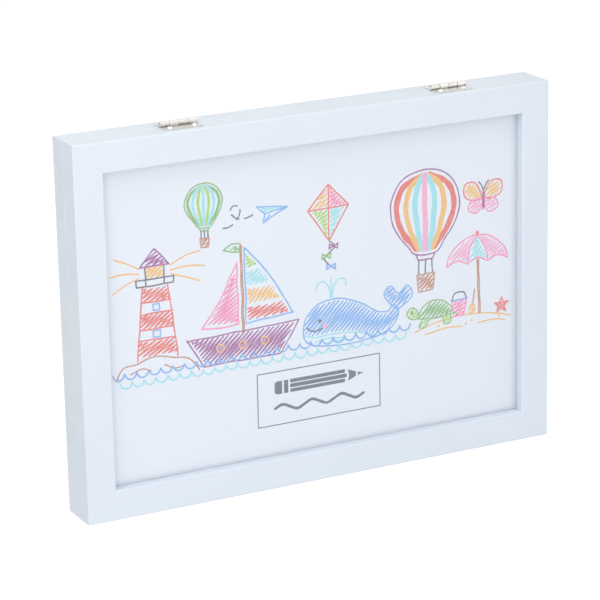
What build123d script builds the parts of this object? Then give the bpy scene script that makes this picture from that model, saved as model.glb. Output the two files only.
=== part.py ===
from build123d import *
from math import sqrt
import os

# Front-opening picture frame for children's A4 drawings, modelled in millimetres.
#
# A glazed door of four mitred mouldings hangs by two butt hinges from a shallow
# storage box. The door swings up about the hinge pins; magnets hold it shut.
# X runs along the frame, -Y is the front, Z is up. The origin is the middle of
# the frame's footprint, on the surface that the frame stands on.

# Paper that the frame is made for
SHEET_WIDTH = 297.0
SHEET_HEIGHT = 210.0
SHEET_THICKNESS = 0.2

# Depths of the two halves
DOOR_DEPTH = 14.8
BOX_DEPTH = 15.9
PARTING_GAP = 0.3

# Door moulding, and how far its lip laps over the sheet's edges
BORDER_WIDTH = 19.5
LIP_DEPTH = 6.7
SIDE_COVER = 3.0
TOP_COVER = 4.5
SHEET_CLEARANCE = 0.75
ARRIS_RADIUS = 0.8
SIGHT_ARRIS_RADIUS = 1.1
PARTING_ARRIS_RADIUS = 0.6
LIP_BACK_RADIUS = 0.4

# Glazing stack inside the door rebate
PANE_THICKNESS = 1.8
PANE_CLEARANCE = 0.5
PANE_EDGE_CHAMFER = 0.2
SHEET_SLACK = 0.3
CARD_THICKNESS = 2.0
CARD_CLEARANCE = 0.75
CARD_CORNER_RADIUS = 2.0

# Flexible retaining points that hold the stack in
POINT_WIDTH = 6.0
POINT_THICKNESS = 0.4
POINT_GRIP = 5.0
POINT_REACH = 9.0
POINT_TIP_CHAMFER = 2.0
LONG_SIDE_POINT_SHARES = (-0.32, 0.0, 0.32)
SHORT_SIDE_POINT_SHARES = (-0.26, 0.26)

# Storage box
WALL_THICKNESS = 12.5
PANEL_THICKNESS = 3.0
PANEL_INSET = 0.5
PANEL_REBATE_WIDTH = 3.5
PANEL_CLEARANCE = 0.4

# Joints between the mouldings
GLUE_LINE = 0.03
CORNER_NAIL_ARM = 5.0
CORNER_NAIL_THICKNESS = 0.5
CORNER_NAIL_DEPTH = 7.0
DOOR_CORNER_NAIL_SETBACK = 5.0
BOX_CORNER_NAIL_SETBACK = 3.0

# Brads that hold the back panel
BRAD_WIDTH = 1.2
BRAD_THICKNESS = 1.0
BRAD_LENGTH = 10.0
BRAD_HEAD_WIDTH = 2.2
BRAD_HEAD_DEPTH = 0.5
LONG_SIDE_BRAD_SHARES = (-0.44, -0.15, 0.15, 0.44)
SHORT_SIDE_BRAD_SHARES = (-0.28, 0.28)

# Butt hinges on the top edge
HINGE_SPACING = 188.0
HINGE_OFFSET = 5.0
HINGE_LENGTH = 25.0
LEAF_WIDTH = 10.0
LEAF_THICKNESS = 0.7
LEAF_CORNER_CHAMFER = 0.6
KNUCKLE_COUNT = 4
KNUCKLE_RADIUS = 1.75
KNUCKLE_LIFT = 0.2
KNUCKLE_GAP = 0.4
DOOR_KNUCKLES = (1, 3)
BOX_KNUCKLES = (0, 2)
KNUCKLE_NOTCH_CLEARANCE = 0.3
SEAM_WIDTH = 0.12
SEAM_ANGLE = 35.0
PIN_RADIUS = 1.0
PIN_TIGHT_CLEARANCE = 0.02
PIN_RUNNING_CLEARANCE = 0.05
PIN_RECESS = 0.6

# Hinge screws
HINGE_SCREW_PITCH = 16.6
HINGE_SCREW_SETBACK = 6.0
SCREW_SHANK_RADIUS = 1.0
SCREW_LENGTH = 9.0
SCREW_HEAD_RADIUS = 1.9
SCREW_HEAD_HEIGHT = 1.1
LEAF_HOLE_CLEARANCE = 0.2
CROSS_SLOT_LENGTH = 2.1
CROSS_SLOT_WIDTH = 0.5
CROSS_SLOT_DEPTH = 0.65

# Magnetic catch along the bottom
CATCH_SPACING = 220.0
MAGNET_RADIUS = 4.0
MAGNET_THICKNESS = 3.0
STRIKE_RADIUS = 4.5
STRIKE_THICKNESS = 1.2

# Elastic straps across the storage box
STRAP_SPACING = 150.0
STRAP_WIDTH = 10.0
STRAP_THICKNESS = 1.0
STRAP_SETBACK = 1.2
STRAP_END_LENGTH = 8.5
STRAP_BEND_RADIUS = 0.6

# Staples that hold the strap ends
STAPLE_CROWN = 7.0
STAPLE_LEG = 5.0
STAPLE_WIRE_WIDTH = 0.9
STAPLE_WIRE_THICKNESS = 0.5
STAPLE_BEND_CHAMFER = 0.3
STAPLE_SETBACK = 3.0

# Saw-tooth hangers on the back, each with two prongs of its own
HANGER_LENGTH = 45.0
HANGER_HEIGHT = 7.5
HANGER_THICKNESS = 0.8
HANGER_FOOT = 7.5
HANGER_RAMP = 3.0
HANGER_RISE = 1.4
HANGER_BEND_RADIUS = 0.5
HANGER_END_TAPER = 1.6
HANGER_EDGE_MARGIN = 0.7
PRONG_LENGTH = 6.5
PRONG_POINT = 3.0
TOOTH_PITCH = 2.6
TOOTH_DEPTH = 1.7
TOOTH_COUNT = 8

# Fits and cutting
DRIVEN_FIT = 0.02
HOLE_END_CLEARANCE = 0.3
OVERRUN = 2.0

# Outside of the closed frame, round the sheet
FRAME_WIDTH = SHEET_WIDTH + 2 * (BORDER_WIDTH - SIDE_COVER)
FRAME_HEIGHT = SHEET_HEIGHT + 2 * (BORDER_WIDTH - TOP_COVER)

# Planes that the pieces share, front to back
FRAME_DEPTH = DOOR_DEPTH + PARTING_GAP + BOX_DEPTH
FRONT_Y = -FRAME_DEPTH / 2
PANE_FRONT_Y = FRONT_Y + LIP_DEPTH
SHEET_FRONT_Y = PANE_FRONT_Y + PANE_THICKNESS + SHEET_SLACK
CARD_FRONT_Y = SHEET_FRONT_Y + SHEET_THICKNESS
CARD_BACK_Y = CARD_FRONT_Y + CARD_THICKNESS
DOOR_BACK_Y = FRONT_Y + DOOR_DEPTH
HINGE_Y = DOOR_BACK_Y + PARTING_GAP / 2
BOX_FRONT_Y = DOOR_BACK_Y + PARTING_GAP
BOX_BACK_Y = BOX_FRONT_Y + BOX_DEPTH
PANEL_BACK_Y = BOX_BACK_Y - PANEL_INSET
PANEL_FRONT_Y = PANEL_BACK_Y - PANEL_THICKNESS

# Other places worked out once
MID_Z = FRAME_HEIGHT / 2
HINGE_Z = FRAME_HEIGHT + KNUCKLE_LIFT + KNUCKLE_RADIUS
KNUCKLE_LENGTH = (HINGE_LENGTH - (KNUCKLE_COUNT - 1) * KNUCKLE_GAP) / KNUCKLE_COUNT
DOOR_REBATE_EDGE = BORDER_WIDTH - max(SIDE_COVER, TOP_COVER) - SHEET_CLEARANCE
PANEL_REBATE_EDGE = WALL_THICKNESS - PANEL_REBATE_WIDTH
HINGE_CENTRES_X = [HINGE_OFFSET + side * HINGE_SPACING / 2 for side in (-1, 1)]

CORNER_SIDES = [(side_x, side_z) for side_x in (-1, 1) for side_z in (-1, 1)]


def block(x_range, y_range, z_range):
    """Box between two X, two Y and two Z planes, in any order."""
    lows = [min(pair) for pair in (x_range, y_range, z_range)]
    sizes = [abs(pair[1] - pair[0]) for pair in (x_range, y_range, z_range)]
    return Pos(*lows) * Box(*sizes, align=Align.MIN)


def rod_along_y(radius, y_range, x, z):
    """Cylinder between two Y planes."""
    length = abs(y_range[1] - y_range[0])
    middle = sum(y_range) / 2
    return Pos(x, middle, z) * Rot(90, 0, 0) * Cylinder(radius, length)


def rod_along_x(radius, x_range, y, z):
    """Cylinder between two X planes."""
    length = abs(x_range[1] - x_range[0])
    middle = sum(x_range) / 2
    return Pos(middle, y, z) * Rot(0, 90, 0) * Cylinder(radius, length)


def depth_profile(points, radii):
    """Face in the YZ plane through (y, z) points, with a radius, or zero, at each corner."""
    face = Plane.YZ * make_face(Polyline(*points, close=True))
    for (y, z), radius in zip(points, radii):
        if radius:
            corner = face.vertices().sort_by_distance((0, y, z))[0]
            face = fillet(corner, radius)
    return face


def mitred_member(profile, length, height):
    """Moulding along X with its outer edge at Z zero, cut at 45 degrees at both ends."""
    bar = extrude(profile, length / 2, both=True)
    half = length / 2 - GLUE_LINE / sqrt(2)
    outline = [(-half, 0), (half, 0), (half - height, height), (height - half, height)]
    wedge = extrude(Plane.XZ * make_face(Polyline(*outline, close=True)), FRAME_DEPTH, both=True)
    return bar & wedge


def four_members(profile, height):
    """The bottom, top, left and right members of a frame, each in its place."""
    long_member = mitred_member(profile, FRAME_WIDTH, height)
    short_member = mitred_member(profile, FRAME_HEIGHT, height)
    return {
        "bottom": long_member,
        "top": Pos(0, 0, FRAME_HEIGHT) * Rot(0, 180, 0) * long_member,
        "left": Pos(-FRAME_WIDTH / 2, 0, MID_Z) * Rot(0, 90, 0) * short_member,
        "right": Pos(FRAME_WIDTH / 2, 0, MID_Z) * Rot(0, -90, 0) * short_member,
    }


def door_members():
    """Door mouldings: a deep front lip, rounded at the sight edge, over a glazing rebate."""
    lip_y = FRONT_Y + LIP_DEPTH
    points = [
        (FRONT_Y, 0),
        (DOOR_BACK_Y, 0),
        (DOOR_BACK_Y, DOOR_REBATE_EDGE),
        (lip_y, DOOR_REBATE_EDGE),
        (lip_y, BORDER_WIDTH),
        (FRONT_Y, BORDER_WIDTH),
    ]
    radii = [ARRIS_RADIUS, PARTING_ARRIS_RADIUS, 0, 0, LIP_BACK_RADIUS, SIGHT_ARRIS_RADIUS]
    return four_members(depth_profile(points, radii), BORDER_WIDTH)


def box_members():
    """Storage box walls, rebated at the back for the panel."""
    rebate_y = PANEL_FRONT_Y
    points = [
        (BOX_FRONT_Y, 0),
        (BOX_BACK_Y, 0),
        (BOX_BACK_Y, PANEL_REBATE_EDGE),
        (rebate_y, PANEL_REBATE_EDGE),
        (rebate_y, WALL_THICKNESS),
        (BOX_FRONT_Y, WALL_THICKNESS),
    ]
    radii = [PARTING_ARRIS_RADIUS, ARRIS_RADIUS, 0, 0, 0, ARRIS_RADIUS]
    return four_members(depth_profile(points, radii), WALL_THICKNESS)


def sheet_of(width, height, front_y, thickness):
    """Upright rectangular sheet centred on the frame."""
    z_range = (MID_Z - height / 2, MID_Z + height / 2)
    return block((-width / 2, width / 2), (front_y, front_y + thickness), z_range)


def window_pane():
    """Clear pane with eased edges, behind the lip."""
    width = FRAME_WIDTH - 2 * (DOOR_REBATE_EDGE + PANE_CLEARANCE)
    height = FRAME_HEIGHT - 2 * (DOOR_REBATE_EDGE + PANE_CLEARANCE)
    pane = sheet_of(width, height, PANE_FRONT_Y, PANE_THICKNESS)
    rims = pane.faces().sort_by(Axis.Y)
    return chamfer(rims[0].edges() + rims[-1].edges(), PANE_EDGE_CHAMFER)


def backing_card():
    """Stiff card that presses the drawing towards the pane."""
    width = FRAME_WIDTH - 2 * (DOOR_REBATE_EDGE + CARD_CLEARANCE)
    height = FRAME_HEIGHT - 2 * (DOOR_REBATE_EDGE + CARD_CLEARANCE)
    card = sheet_of(width, height, CARD_FRONT_Y, CARD_THICKNESS)
    return fillet(card.edges().filter_by(Axis.Y), CARD_CORNER_RADIUS)


def back_panel():
    """Fibreboard panel in the rebate at the back of the box."""
    width = FRAME_WIDTH - 2 * (PANEL_REBATE_EDGE + PANEL_CLEARANCE)
    height = FRAME_HEIGHT - 2 * (PANEL_REBATE_EDGE + PANEL_CLEARANCE)
    return sheet_of(width, height, PANEL_FRONT_Y, PANEL_THICKNESS)


def around_frame(long_shares, short_shares):
    """Places round the frame, as (rotation about Y, centre of that side, distance along it)."""
    half_width, half_height = FRAME_WIDTH / 2, FRAME_HEIGHT / 2
    sides = [
        (0, (0, 0, 0), long_shares, FRAME_WIDTH),
        (180, (0, 0, FRAME_HEIGHT), long_shares, FRAME_WIDTH),
        (90, (-half_width, 0, half_height), short_shares, FRAME_HEIGHT),
        (-90, (half_width, 0, half_height), short_shares, FRAME_HEIGHT),
    ]
    for turn, centre, shares, length in sides:
        for share in shares:
            yield Pos(*centre) * Rot(0, turn, 0) * Pos(share * length, 0, 0)


def retaining_point(fit=0):
    """Flat point driven into the bottom rebate wall and lying on the card."""
    half = POINT_WIDTH / 2 + fit
    z_range = (DOOR_REBATE_EDGE - POINT_GRIP - fit, DOOR_REBATE_EDGE + POINT_REACH)
    y_range = (CARD_BACK_Y - fit, CARD_BACK_Y + POINT_THICKNESS + fit)
    point = block((-half, half), y_range, z_range)
    tip_edges = point.edges().filter_by(Axis.Y).sort_by(Axis.Z)[-2:]
    return chamfer(tip_edges, POINT_TIP_CHAMFER)


def corner_nail(side_x, side_z, setback, back_y, fit=0):
    """L-shaped nail driven from the back across one mitre."""
    corner_x = side_x * (FRAME_WIDTH / 2 - setback)
    corner_z = MID_Z + side_z * (FRAME_HEIGHT / 2 - setback)
    start, arm = -fit, CORNER_NAIL_ARM + fit
    thick = CORNER_NAIL_THICKNESS + fit
    y_range = (back_y - CORNER_NAIL_DEPTH - fit, back_y + (OVERRUN if fit else 0))

    def leg(along_x, along_z):
        x_range = [corner_x - side_x * value for value in (start, along_x)]
        z_range = [corner_z - side_z * value for value in (start, along_z)]
        return block(x_range, y_range, z_range)

    return leg(arm, thick) + leg(thick, arm)


def panel_brad(fit=0):
    """Brad of rectangular section through the panel's edge into the bottom wall, set flush."""
    middle_z = WALL_THICKNESS - PANEL_REBATE_WIDTH / 2
    half_thick = BRAD_THICKNESS / 2 + fit
    z_range = (middle_z - half_thick, middle_z + half_thick)
    half_shank, half_head = BRAD_WIDTH / 2 + fit, BRAD_HEAD_WIDTH / 2 + fit
    tip_y = PANEL_BACK_Y - BRAD_LENGTH - fit
    head_y = PANEL_BACK_Y - BRAD_HEAD_DEPTH - fit
    shank = block((-half_shank, half_shank), (tip_y, PANEL_BACK_Y), z_range)
    return shank + block((-half_head, half_head), (head_y, PANEL_BACK_Y), z_range)


def knuckle_start(index, centre_x):
    """Left end of one knuckle of the hinge at centre_x."""
    return centre_x - HINGE_LENGTH / 2 + index * (KNUCKLE_LENGTH + KNUCKLE_GAP)


def hinge_leaf(centre_x, side, own_knuckles, bore_radius):
    """Leaf on the top edge, with its rolled knuckles; side is -1 for the door and 1 for the box."""
    half = HINGE_LENGTH / 2
    plate_y = (HINGE_Y, HINGE_Y + side * LEAF_WIDTH)
    plate_z = (FRAME_HEIGHT, FRAME_HEIGHT + LEAF_THICKNESS)
    plate = block((centre_x - half, centre_x + half), plate_y, plate_z)
    upright = plate.edges().filter_by(Axis.Z).sort_by(Axis.Y)
    outer_edges = upright[:2] if side < 0 else upright[-2:]
    leaf = chamfer(outer_edges, LEAF_CORNER_CHAMFER)

    notch_y = (HINGE_Y - side * OVERRUN, HINGE_Y + side * (KNUCKLE_RADIUS + KNUCKLE_NOTCH_CLEARANCE))
    notch_z = (FRAME_HEIGHT - OVERRUN, FRAME_HEIGHT + LEAF_THICKNESS + OVERRUN)
    seam = block((-half, half), (0, side * (KNUCKLE_RADIUS + OVERRUN)), (-SEAM_WIDTH / 2, SEAM_WIDTH / 2))
    seam = Pos(centre_x, HINGE_Y, HINGE_Z) * Rot(-side * SEAM_ANGLE, 0, 0) * seam
    for index in range(KNUCKLE_COUNT):
        start = knuckle_start(index, centre_x)
        end = start + KNUCKLE_LENGTH
        if index in own_knuckles:
            barrel = rod_along_x(KNUCKLE_RADIUS, (start, end), HINGE_Y, HINGE_Z)
            leaf += barrel - seam
        else:
            low = start - (KNUCKLE_GAP if index else OVERRUN)
            high = end + (KNUCKLE_GAP if index < KNUCKLE_COUNT - 1 else OVERRUN)
            leaf -= block((low, high), notch_y, notch_z)
    bore_x = (centre_x - half - OVERRUN, centre_x + half + OVERRUN)
    leaf -= rod_along_x(bore_radius, bore_x, HINGE_Y, HINGE_Z)

    hole_z = FRAME_HEIGHT + LEAF_THICKNESS / 2
    for x, y in hinge_screw_places(centre_x, side):
        hole = Cylinder(SCREW_SHANK_RADIUS + LEAF_HOLE_CLEARANCE, LEAF_THICKNESS + OVERRUN)
        leaf -= Pos(x, y, hole_z) * hole
    return leaf


def hinge_pin(centre_x):
    """Pin that stops short of the barrel's ends."""
    half = HINGE_LENGTH / 2 - PIN_RECESS
    return rod_along_x(PIN_RADIUS, (centre_x - half, centre_x + half), HINGE_Y, HINGE_Z)


def hinge_screw_places(centre_x, side):
    """The (x, y) of one leaf's two screws."""
    y = HINGE_Y + side * HINGE_SCREW_SETBACK
    return [(centre_x + end * HINGE_SCREW_PITCH / 2, y) for end in (-1, 1)]


def hinge_screw():
    """Wood screw with a cross recess in its head, which is seated at Z zero."""
    outline = [
        (0, -SCREW_LENGTH),
        (SCREW_SHANK_RADIUS, -SCREW_LENGTH),
        (SCREW_SHANK_RADIUS, 0),
        (SCREW_HEAD_RADIUS, 0),
        (SCREW_HEAD_RADIUS, SCREW_HEAD_HEIGHT),
        (0, SCREW_HEAD_HEIGHT),
    ]
    screw = revolve(Plane.XZ * make_face(Polyline(*outline, close=True)), Axis.Z)
    slot = Box(CROSS_SLOT_LENGTH, CROSS_SLOT_WIDTH, CROSS_SLOT_DEPTH)
    cross = slot + Rot(0, 0, 90) * slot
    return screw - Pos(0, 0, SCREW_HEAD_HEIGHT - CROSS_SLOT_DEPTH / 2) * cross


def pilot_hole():
    """Hole that a hinge screw bites into, downwards from the top edge."""
    depth = SCREW_LENGTH - LEAF_THICKNESS + HOLE_END_CLEARANCE
    hole = Cylinder(SCREW_SHANK_RADIUS + DRIVEN_FIT, depth + OVERRUN)
    return Pos(0, 0, FRAME_HEIGHT - depth / 2 + OVERRUN / 2) * hole


def catch_discs(radius, y_range):
    """A pair of discs near the bottom corners, in the middle of the bottom wall."""
    sides = (-1, 1)
    return [rod_along_y(radius, y_range, side * CATCH_SPACING / 2, WALL_THICKNESS / 2) for side in sides]


def elastic_strap(x):
    """Flat elastic band across the box, its ends turned back along the two walls."""
    front_y = BOX_FRONT_Y + STRAP_SETBACK
    end_y = front_y + STRAP_END_LENGTH
    low, high = WALL_THICKNESS, FRAME_HEIGHT - WALL_THICKNESS
    inner_y = front_y + STRAP_THICKNESS
    inner_low, inner_high = low + STRAP_THICKNESS, high - STRAP_THICKNESS
    points = [
        (front_y, low),
        (end_y, low),
        (end_y, inner_low),
        (inner_y, inner_low),
        (inner_y, inner_high),
        (end_y, inner_high),
        (end_y, high),
        (front_y, high),
    ]
    outer_bend = STRAP_BEND_RADIUS + STRAP_THICKNESS
    radii = [outer_bend, 0, 0, STRAP_BEND_RADIUS, STRAP_BEND_RADIUS, 0, 0, outer_bend]
    band = extrude(depth_profile(points, radii), STRAP_WIDTH / 2, both=True)
    return Pos(x, 0, 0) * band


def staple(x, fit=0):
    """Flat-wire staple over the strap's lower end, with its legs in the bottom wall."""
    crown_low = WALL_THICKNESS + STRAP_THICKNESS
    crown_high = crown_low + STAPLE_WIRE_THICKNESS
    y = BOX_FRONT_Y + STRAP_SETBACK + STRAP_END_LENGTH - STAPLE_SETBACK
    half_wire = STAPLE_WIRE_WIDTH / 2 + fit
    y_range = (y - half_wire, y + half_wire)
    leg_bottom = crown_low - STAPLE_LEG - fit
    outer, inner = STAPLE_CROWN / 2 + fit, STAPLE_CROWN / 2 - STAPLE_WIRE_THICKNESS - fit
    body = block((-outer, outer), y_range, (leg_bottom, crown_high))
    bends = body.edges().filter_by(Axis.Y).sort_by(Axis.Z)[-2:]
    body = chamfer(bends, STAPLE_BEND_CHAMFER)
    body -= block((-inner, inner), y_range, (leg_bottom, crown_low))
    return Pos(x, 0, 0) * body


def upside_down(shape):
    """The same piece on the opposite wall, turned half round about the frame's middle."""
    return Pos(0, 0, FRAME_HEIGHT) * Rot(0, 180, 0) * shape


def strap_staples(fit=0):
    """The four staples, at both ends of both straps."""
    lower = [staple(side * STRAP_SPACING / 2, fit) for side in (-1, 1)]
    return lower + [upside_down(piece) for piece in lower]


def hanger_prongs(fit=0):
    """The two pointed prongs of a hanger at the origin, from its feet into the wood."""
    half_width = HANGER_HEIGHT / 2 - HANGER_END_TAPER + fit
    point_y = -PRONG_LENGTH - fit
    outline = [
        (HANGER_THICKNESS, -half_width),
        (HANGER_THICKNESS, half_width),
        (point_y + PRONG_POINT, half_width),
        (point_y, 0),
        (point_y + PRONG_POINT, -half_width),
    ]
    face = Plane.YZ * make_face(Polyline(*outline, close=True))
    plate = extrude(face, HANGER_THICKNESS / 2 + fit, both=True)
    reach = HANGER_LENGTH / 2 - HANGER_THICKNESS / 2
    return [Pos(side * reach, 0, 0) * plate for side in (-1, 1)]


def sawtooth_hanger():
    """Stamped hanger, centred at the origin, its feet on Y zero and its teeth pointing down."""
    foot_end = HANGER_LENGTH / 2 - HANGER_FOOT
    ramp_end = foot_end - HANGER_RAMP
    half = HANGER_LENGTH / 2
    under = [(half, 0), (foot_end, 0), (ramp_end, HANGER_RISE)]
    under += [(-x, y) for x, y in reversed(under)]
    over = [(x, y + HANGER_THICKNESS) for x, y in reversed(under)]
    strip = extrude(make_face(Polyline(*under, *over, close=True)), HANGER_HEIGHT / 2, both=True)
    bends = strip.edges().filter_by(Axis.Z).sort_by_distance((0, 0, 0))[:-4]
    strip = fillet(bends, HANGER_BEND_RADIUS)
    ends = strip.edges().filter_by(Axis.Y).sort_by(Axis.X)
    strip = chamfer(ends[:2] + ends[-2:], HANGER_END_TAPER)
    for prong in hanger_prongs():
        strip += prong

    # The teeth are cut in the lower edge, which rests on the wall nail between two of them.
    first = -TOOTH_COUNT * TOOTH_PITCH / 2
    root = -HANGER_HEIGHT / 2 + TOOTH_DEPTH
    for index in range(TOOTH_COUNT):
        left = first + index * TOOTH_PITCH
        notch = [
            (left, -HANGER_HEIGHT / 2 - OVERRUN),
            (left, -HANGER_HEIGHT / 2),
            (left + TOOTH_PITCH / 2, root),
            (left + TOOTH_PITCH, -HANGER_HEIGHT / 2),
            (left + TOOTH_PITCH, -HANGER_HEIGHT / 2 - OVERRUN),
        ]
        tool = Plane.XZ * make_face(Polyline(*notch, close=True))
        strip -= extrude(tool, HANGER_RISE + HANGER_THICKNESS + OVERRUN, both=True)
    return strip


def hanger_locations():
    """Where the landscape and the portrait hanger sit, on the back of two walls."""
    inset = HANGER_HEIGHT / 2 + HANGER_EDGE_MARGIN
    landscape = Pos(0, BOX_BACK_Y, FRAME_HEIGHT - inset)
    portrait = Pos(FRAME_WIDTH / 2 - inset, BOX_BACK_Y, MID_Z) * Rot(0, 90, 0)
    return {"landscape": landscape, "portrait": portrait}


def less(shape, cutters):
    """The shape with every cutter taken out."""
    for cutter in cutters:
        shape -= cutter
    return shape


def group(pieces):
    """Several separate solids as one node."""
    return Compound([solid for piece in pieces for solid in piece.solids()])


def door_nodes():
    """Everything that swings with the door."""
    members = door_members()
    point_locations = list(around_frame(LONG_SIDE_POINT_SHARES, SHORT_SIDE_POINT_SHARES))
    slits = [location * retaining_point(DRIVEN_FIT) for location in point_locations]
    nail_pockets = [
        corner_nail(*corner, DOOR_CORNER_NAIL_SETBACK, DOOR_BACK_Y, DRIVEN_FIT) for corner in CORNER_SIDES
    ]
    strike_front_y = DOOR_BACK_Y - STRIKE_THICKNESS
    strike_holes = catch_discs(STRIKE_RADIUS + DRIVEN_FIT, (strike_front_y, DOOR_BACK_Y + OVERRUN))
    screw_places = [hinge_screw_places(x, -1) for x in HINGE_CENTRES_X]
    pilots = [Pos(x, y, 0) * pilot_hole() for pair in screw_places for x, y in pair]
    screw = hinge_screw()
    seat_z = FRAME_HEIGHT + LEAF_THICKNESS

    nodes = {
        "door_bottom_rail": less(members["bottom"], slits + nail_pockets + strike_holes),
        "door_top_rail": less(members["top"], slits + nail_pockets + pilots),
        "door_left_stile": less(members["left"], slits + nail_pockets),
        "door_right_stile": less(members["right"], slits + nail_pockets),
        "window_pane": window_pane(),
        "artwork_sheet": sheet_of(SHEET_WIDTH, SHEET_HEIGHT, SHEET_FRONT_Y, SHEET_THICKNESS),
        "backing_card": backing_card(),
        "retaining_points": group([location * retaining_point() for location in point_locations]),
        "door_corner_nails": group(
            [corner_nail(*corner, DOOR_CORNER_NAIL_SETBACK, DOOR_BACK_Y) for corner in CORNER_SIDES]
        ),
        "door_strike_discs": group(catch_discs(STRIKE_RADIUS, (strike_front_y, DOOR_BACK_Y))),
    }
    for name, centre_x, pair in zip(("left", "right"), HINGE_CENTRES_X, screw_places):
        running_bore = PIN_RADIUS + PIN_RUNNING_CLEARANCE
        nodes[f"{name}_hinge_door_leaf"] = hinge_leaf(centre_x, -1, DOOR_KNUCKLES, running_bore)
        nodes[f"{name}_hinge_door_screws"] = group([Pos(x, y, seat_z) * screw for x, y in pair])
    return nodes


def box_nodes():
    """The storage box and everything fixed to it."""
    members = box_members()
    brad_locations = list(around_frame(LONG_SIDE_BRAD_SHARES, SHORT_SIDE_BRAD_SHARES))
    brad_holes = [location * panel_brad(DRIVEN_FIT) for location in brad_locations]
    nail_pockets = [
        corner_nail(*corner, BOX_CORNER_NAIL_SETBACK, BOX_BACK_Y, DRIVEN_FIT) for corner in CORNER_SIDES
    ]
    magnet_back_y = BOX_FRONT_Y + MAGNET_THICKNESS
    magnet_holes = catch_discs(MAGNET_RADIUS + DRIVEN_FIT, (BOX_FRONT_Y - OVERRUN, magnet_back_y))
    staple_slots = strap_staples(DRIVEN_FIT)
    screw_places = [hinge_screw_places(x, 1) for x in HINGE_CENTRES_X]
    pilots = [Pos(x, y, 0) * pilot_hole() for pair in screw_places for x, y in pair]
    screw = hinge_screw()
    seat_z = FRAME_HEIGHT + LEAF_THICKNESS
    hangers = hanger_locations()
    prongs = hanger_prongs(DRIVEN_FIT)
    prong_slits = {key: [place * prong for prong in prongs] for key, place in hangers.items()}
    straps = [elastic_strap(side * STRAP_SPACING / 2) for side in (-1, 1)]

    nodes = {
        "box_bottom_wall": less(members["bottom"], brad_holes + nail_pockets + magnet_holes + staple_slots),
        "box_top_wall": less(
            members["top"], brad_holes + nail_pockets + staple_slots + pilots + prong_slits["landscape"]
        ),
        "box_left_wall": less(members["left"], brad_holes + nail_pockets),
        "box_right_wall": less(members["right"], brad_holes + nail_pockets + prong_slits["portrait"]),
        "back_panel": less(back_panel(), brad_holes),
        "back_panel_brads": group([location * panel_brad() for location in brad_locations]),
        "box_corner_nails": group(
            [corner_nail(*corner, BOX_CORNER_NAIL_SETBACK, BOX_BACK_Y) for corner in CORNER_SIDES]
        ),
        "catch_magnets": group(catch_discs(MAGNET_RADIUS, (BOX_FRONT_Y, magnet_back_y))),
        "left_elastic_strap": less(straps[0], staple_slots),
        "right_elastic_strap": less(straps[1], staple_slots),
        "strap_staples": group(strap_staples()),
    }
    for name, centre_x, pair in zip(("left", "right"), HINGE_CENTRES_X, screw_places):
        tight_bore = PIN_RADIUS + PIN_TIGHT_CLEARANCE
        nodes[f"{name}_hinge_box_leaf"] = hinge_leaf(centre_x, 1, BOX_KNUCKLES, tight_bore)
        nodes[f"{name}_hinge_pin"] = hinge_pin(centre_x)
        nodes[f"{name}_hinge_box_screws"] = group([Pos(x, y, seat_z) * screw for x, y in pair])
    for key, place in hangers.items():
        nodes[f"{key}_hanger"] = place * sawtooth_hanger()
    return nodes


def main():
    os.makedirs("parts", exist_ok=True)
    for name, shape in {**door_nodes(), **box_nodes()}.items():
        export_step(shape, f"parts/{name}.step")


if __name__ == "__main__":
    main()
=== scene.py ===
"""Dresses the packed front-opening frame for children's A4 drawings.

Every packed node gets its finish, the sheet gets a crayon drawing, and ribbed
elastic and cross-recess screws take the place of the plain solids. Lengths are
in metres, in the packed model's own frame.
"""

import math
import random
from functools import partial

import bmesh
import bpy
from bpy.props import FloatProperty, FloatVectorProperty, IntProperty, PointerProperty
from mathutils import Matrix, Vector, noise


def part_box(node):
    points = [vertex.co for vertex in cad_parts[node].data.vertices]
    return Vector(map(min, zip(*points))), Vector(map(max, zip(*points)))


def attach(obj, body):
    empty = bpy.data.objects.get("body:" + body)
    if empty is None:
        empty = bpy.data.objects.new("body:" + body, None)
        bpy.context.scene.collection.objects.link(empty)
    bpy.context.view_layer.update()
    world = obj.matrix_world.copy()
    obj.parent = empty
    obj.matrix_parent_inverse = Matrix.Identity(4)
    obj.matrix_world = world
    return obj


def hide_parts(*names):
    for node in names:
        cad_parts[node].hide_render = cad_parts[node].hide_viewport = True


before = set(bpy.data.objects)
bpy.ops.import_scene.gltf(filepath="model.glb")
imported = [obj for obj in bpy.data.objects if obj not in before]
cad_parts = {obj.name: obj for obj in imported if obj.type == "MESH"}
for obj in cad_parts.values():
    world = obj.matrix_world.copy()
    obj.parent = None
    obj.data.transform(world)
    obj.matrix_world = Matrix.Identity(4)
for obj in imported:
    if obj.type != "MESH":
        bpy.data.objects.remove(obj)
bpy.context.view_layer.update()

bl_info = {
    "name": "Drawing Frame Dressing",
    "version": (1, 0, 0),
    "blender": (4, 5, 0),
    "location": "View3D > Sidebar > Drawing frame",
    "description": "Finishes, crayon drawing, elastic straps and screws for a front-opening picture frame",
    "category": "Object",
}

MM = 0.001

# The sight opening, between the inner edges of the four door mouldings
SIGHT_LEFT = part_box("door_left_stile")[1].x
SIGHT_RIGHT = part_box("door_right_stile")[0].x
SIGHT_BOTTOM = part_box("door_bottom_rail")[1].z
SIGHT_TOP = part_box("door_top_rail")[0].z
SHEET_FRONT_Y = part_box("artwork_sheet")[0].y
DOOR_MIDDLE = Vector((0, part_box("door_top_rail")[0].y, (SIGHT_BOTTOM + SIGHT_TOP) / 2))


# Settings that a user can change

def linear(hex_colour):
    """Linear red, green, blue and a full alpha of an sRGB hex colour."""
    shares = [int(hex_colour[at:at + 2], 16) / 255 for at in (1, 3, 5)]
    return (*(s / 12.92 if s <= 0.04045 else ((s + 0.055) / 1.055) ** 2.4 for s in shares), 1)


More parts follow.
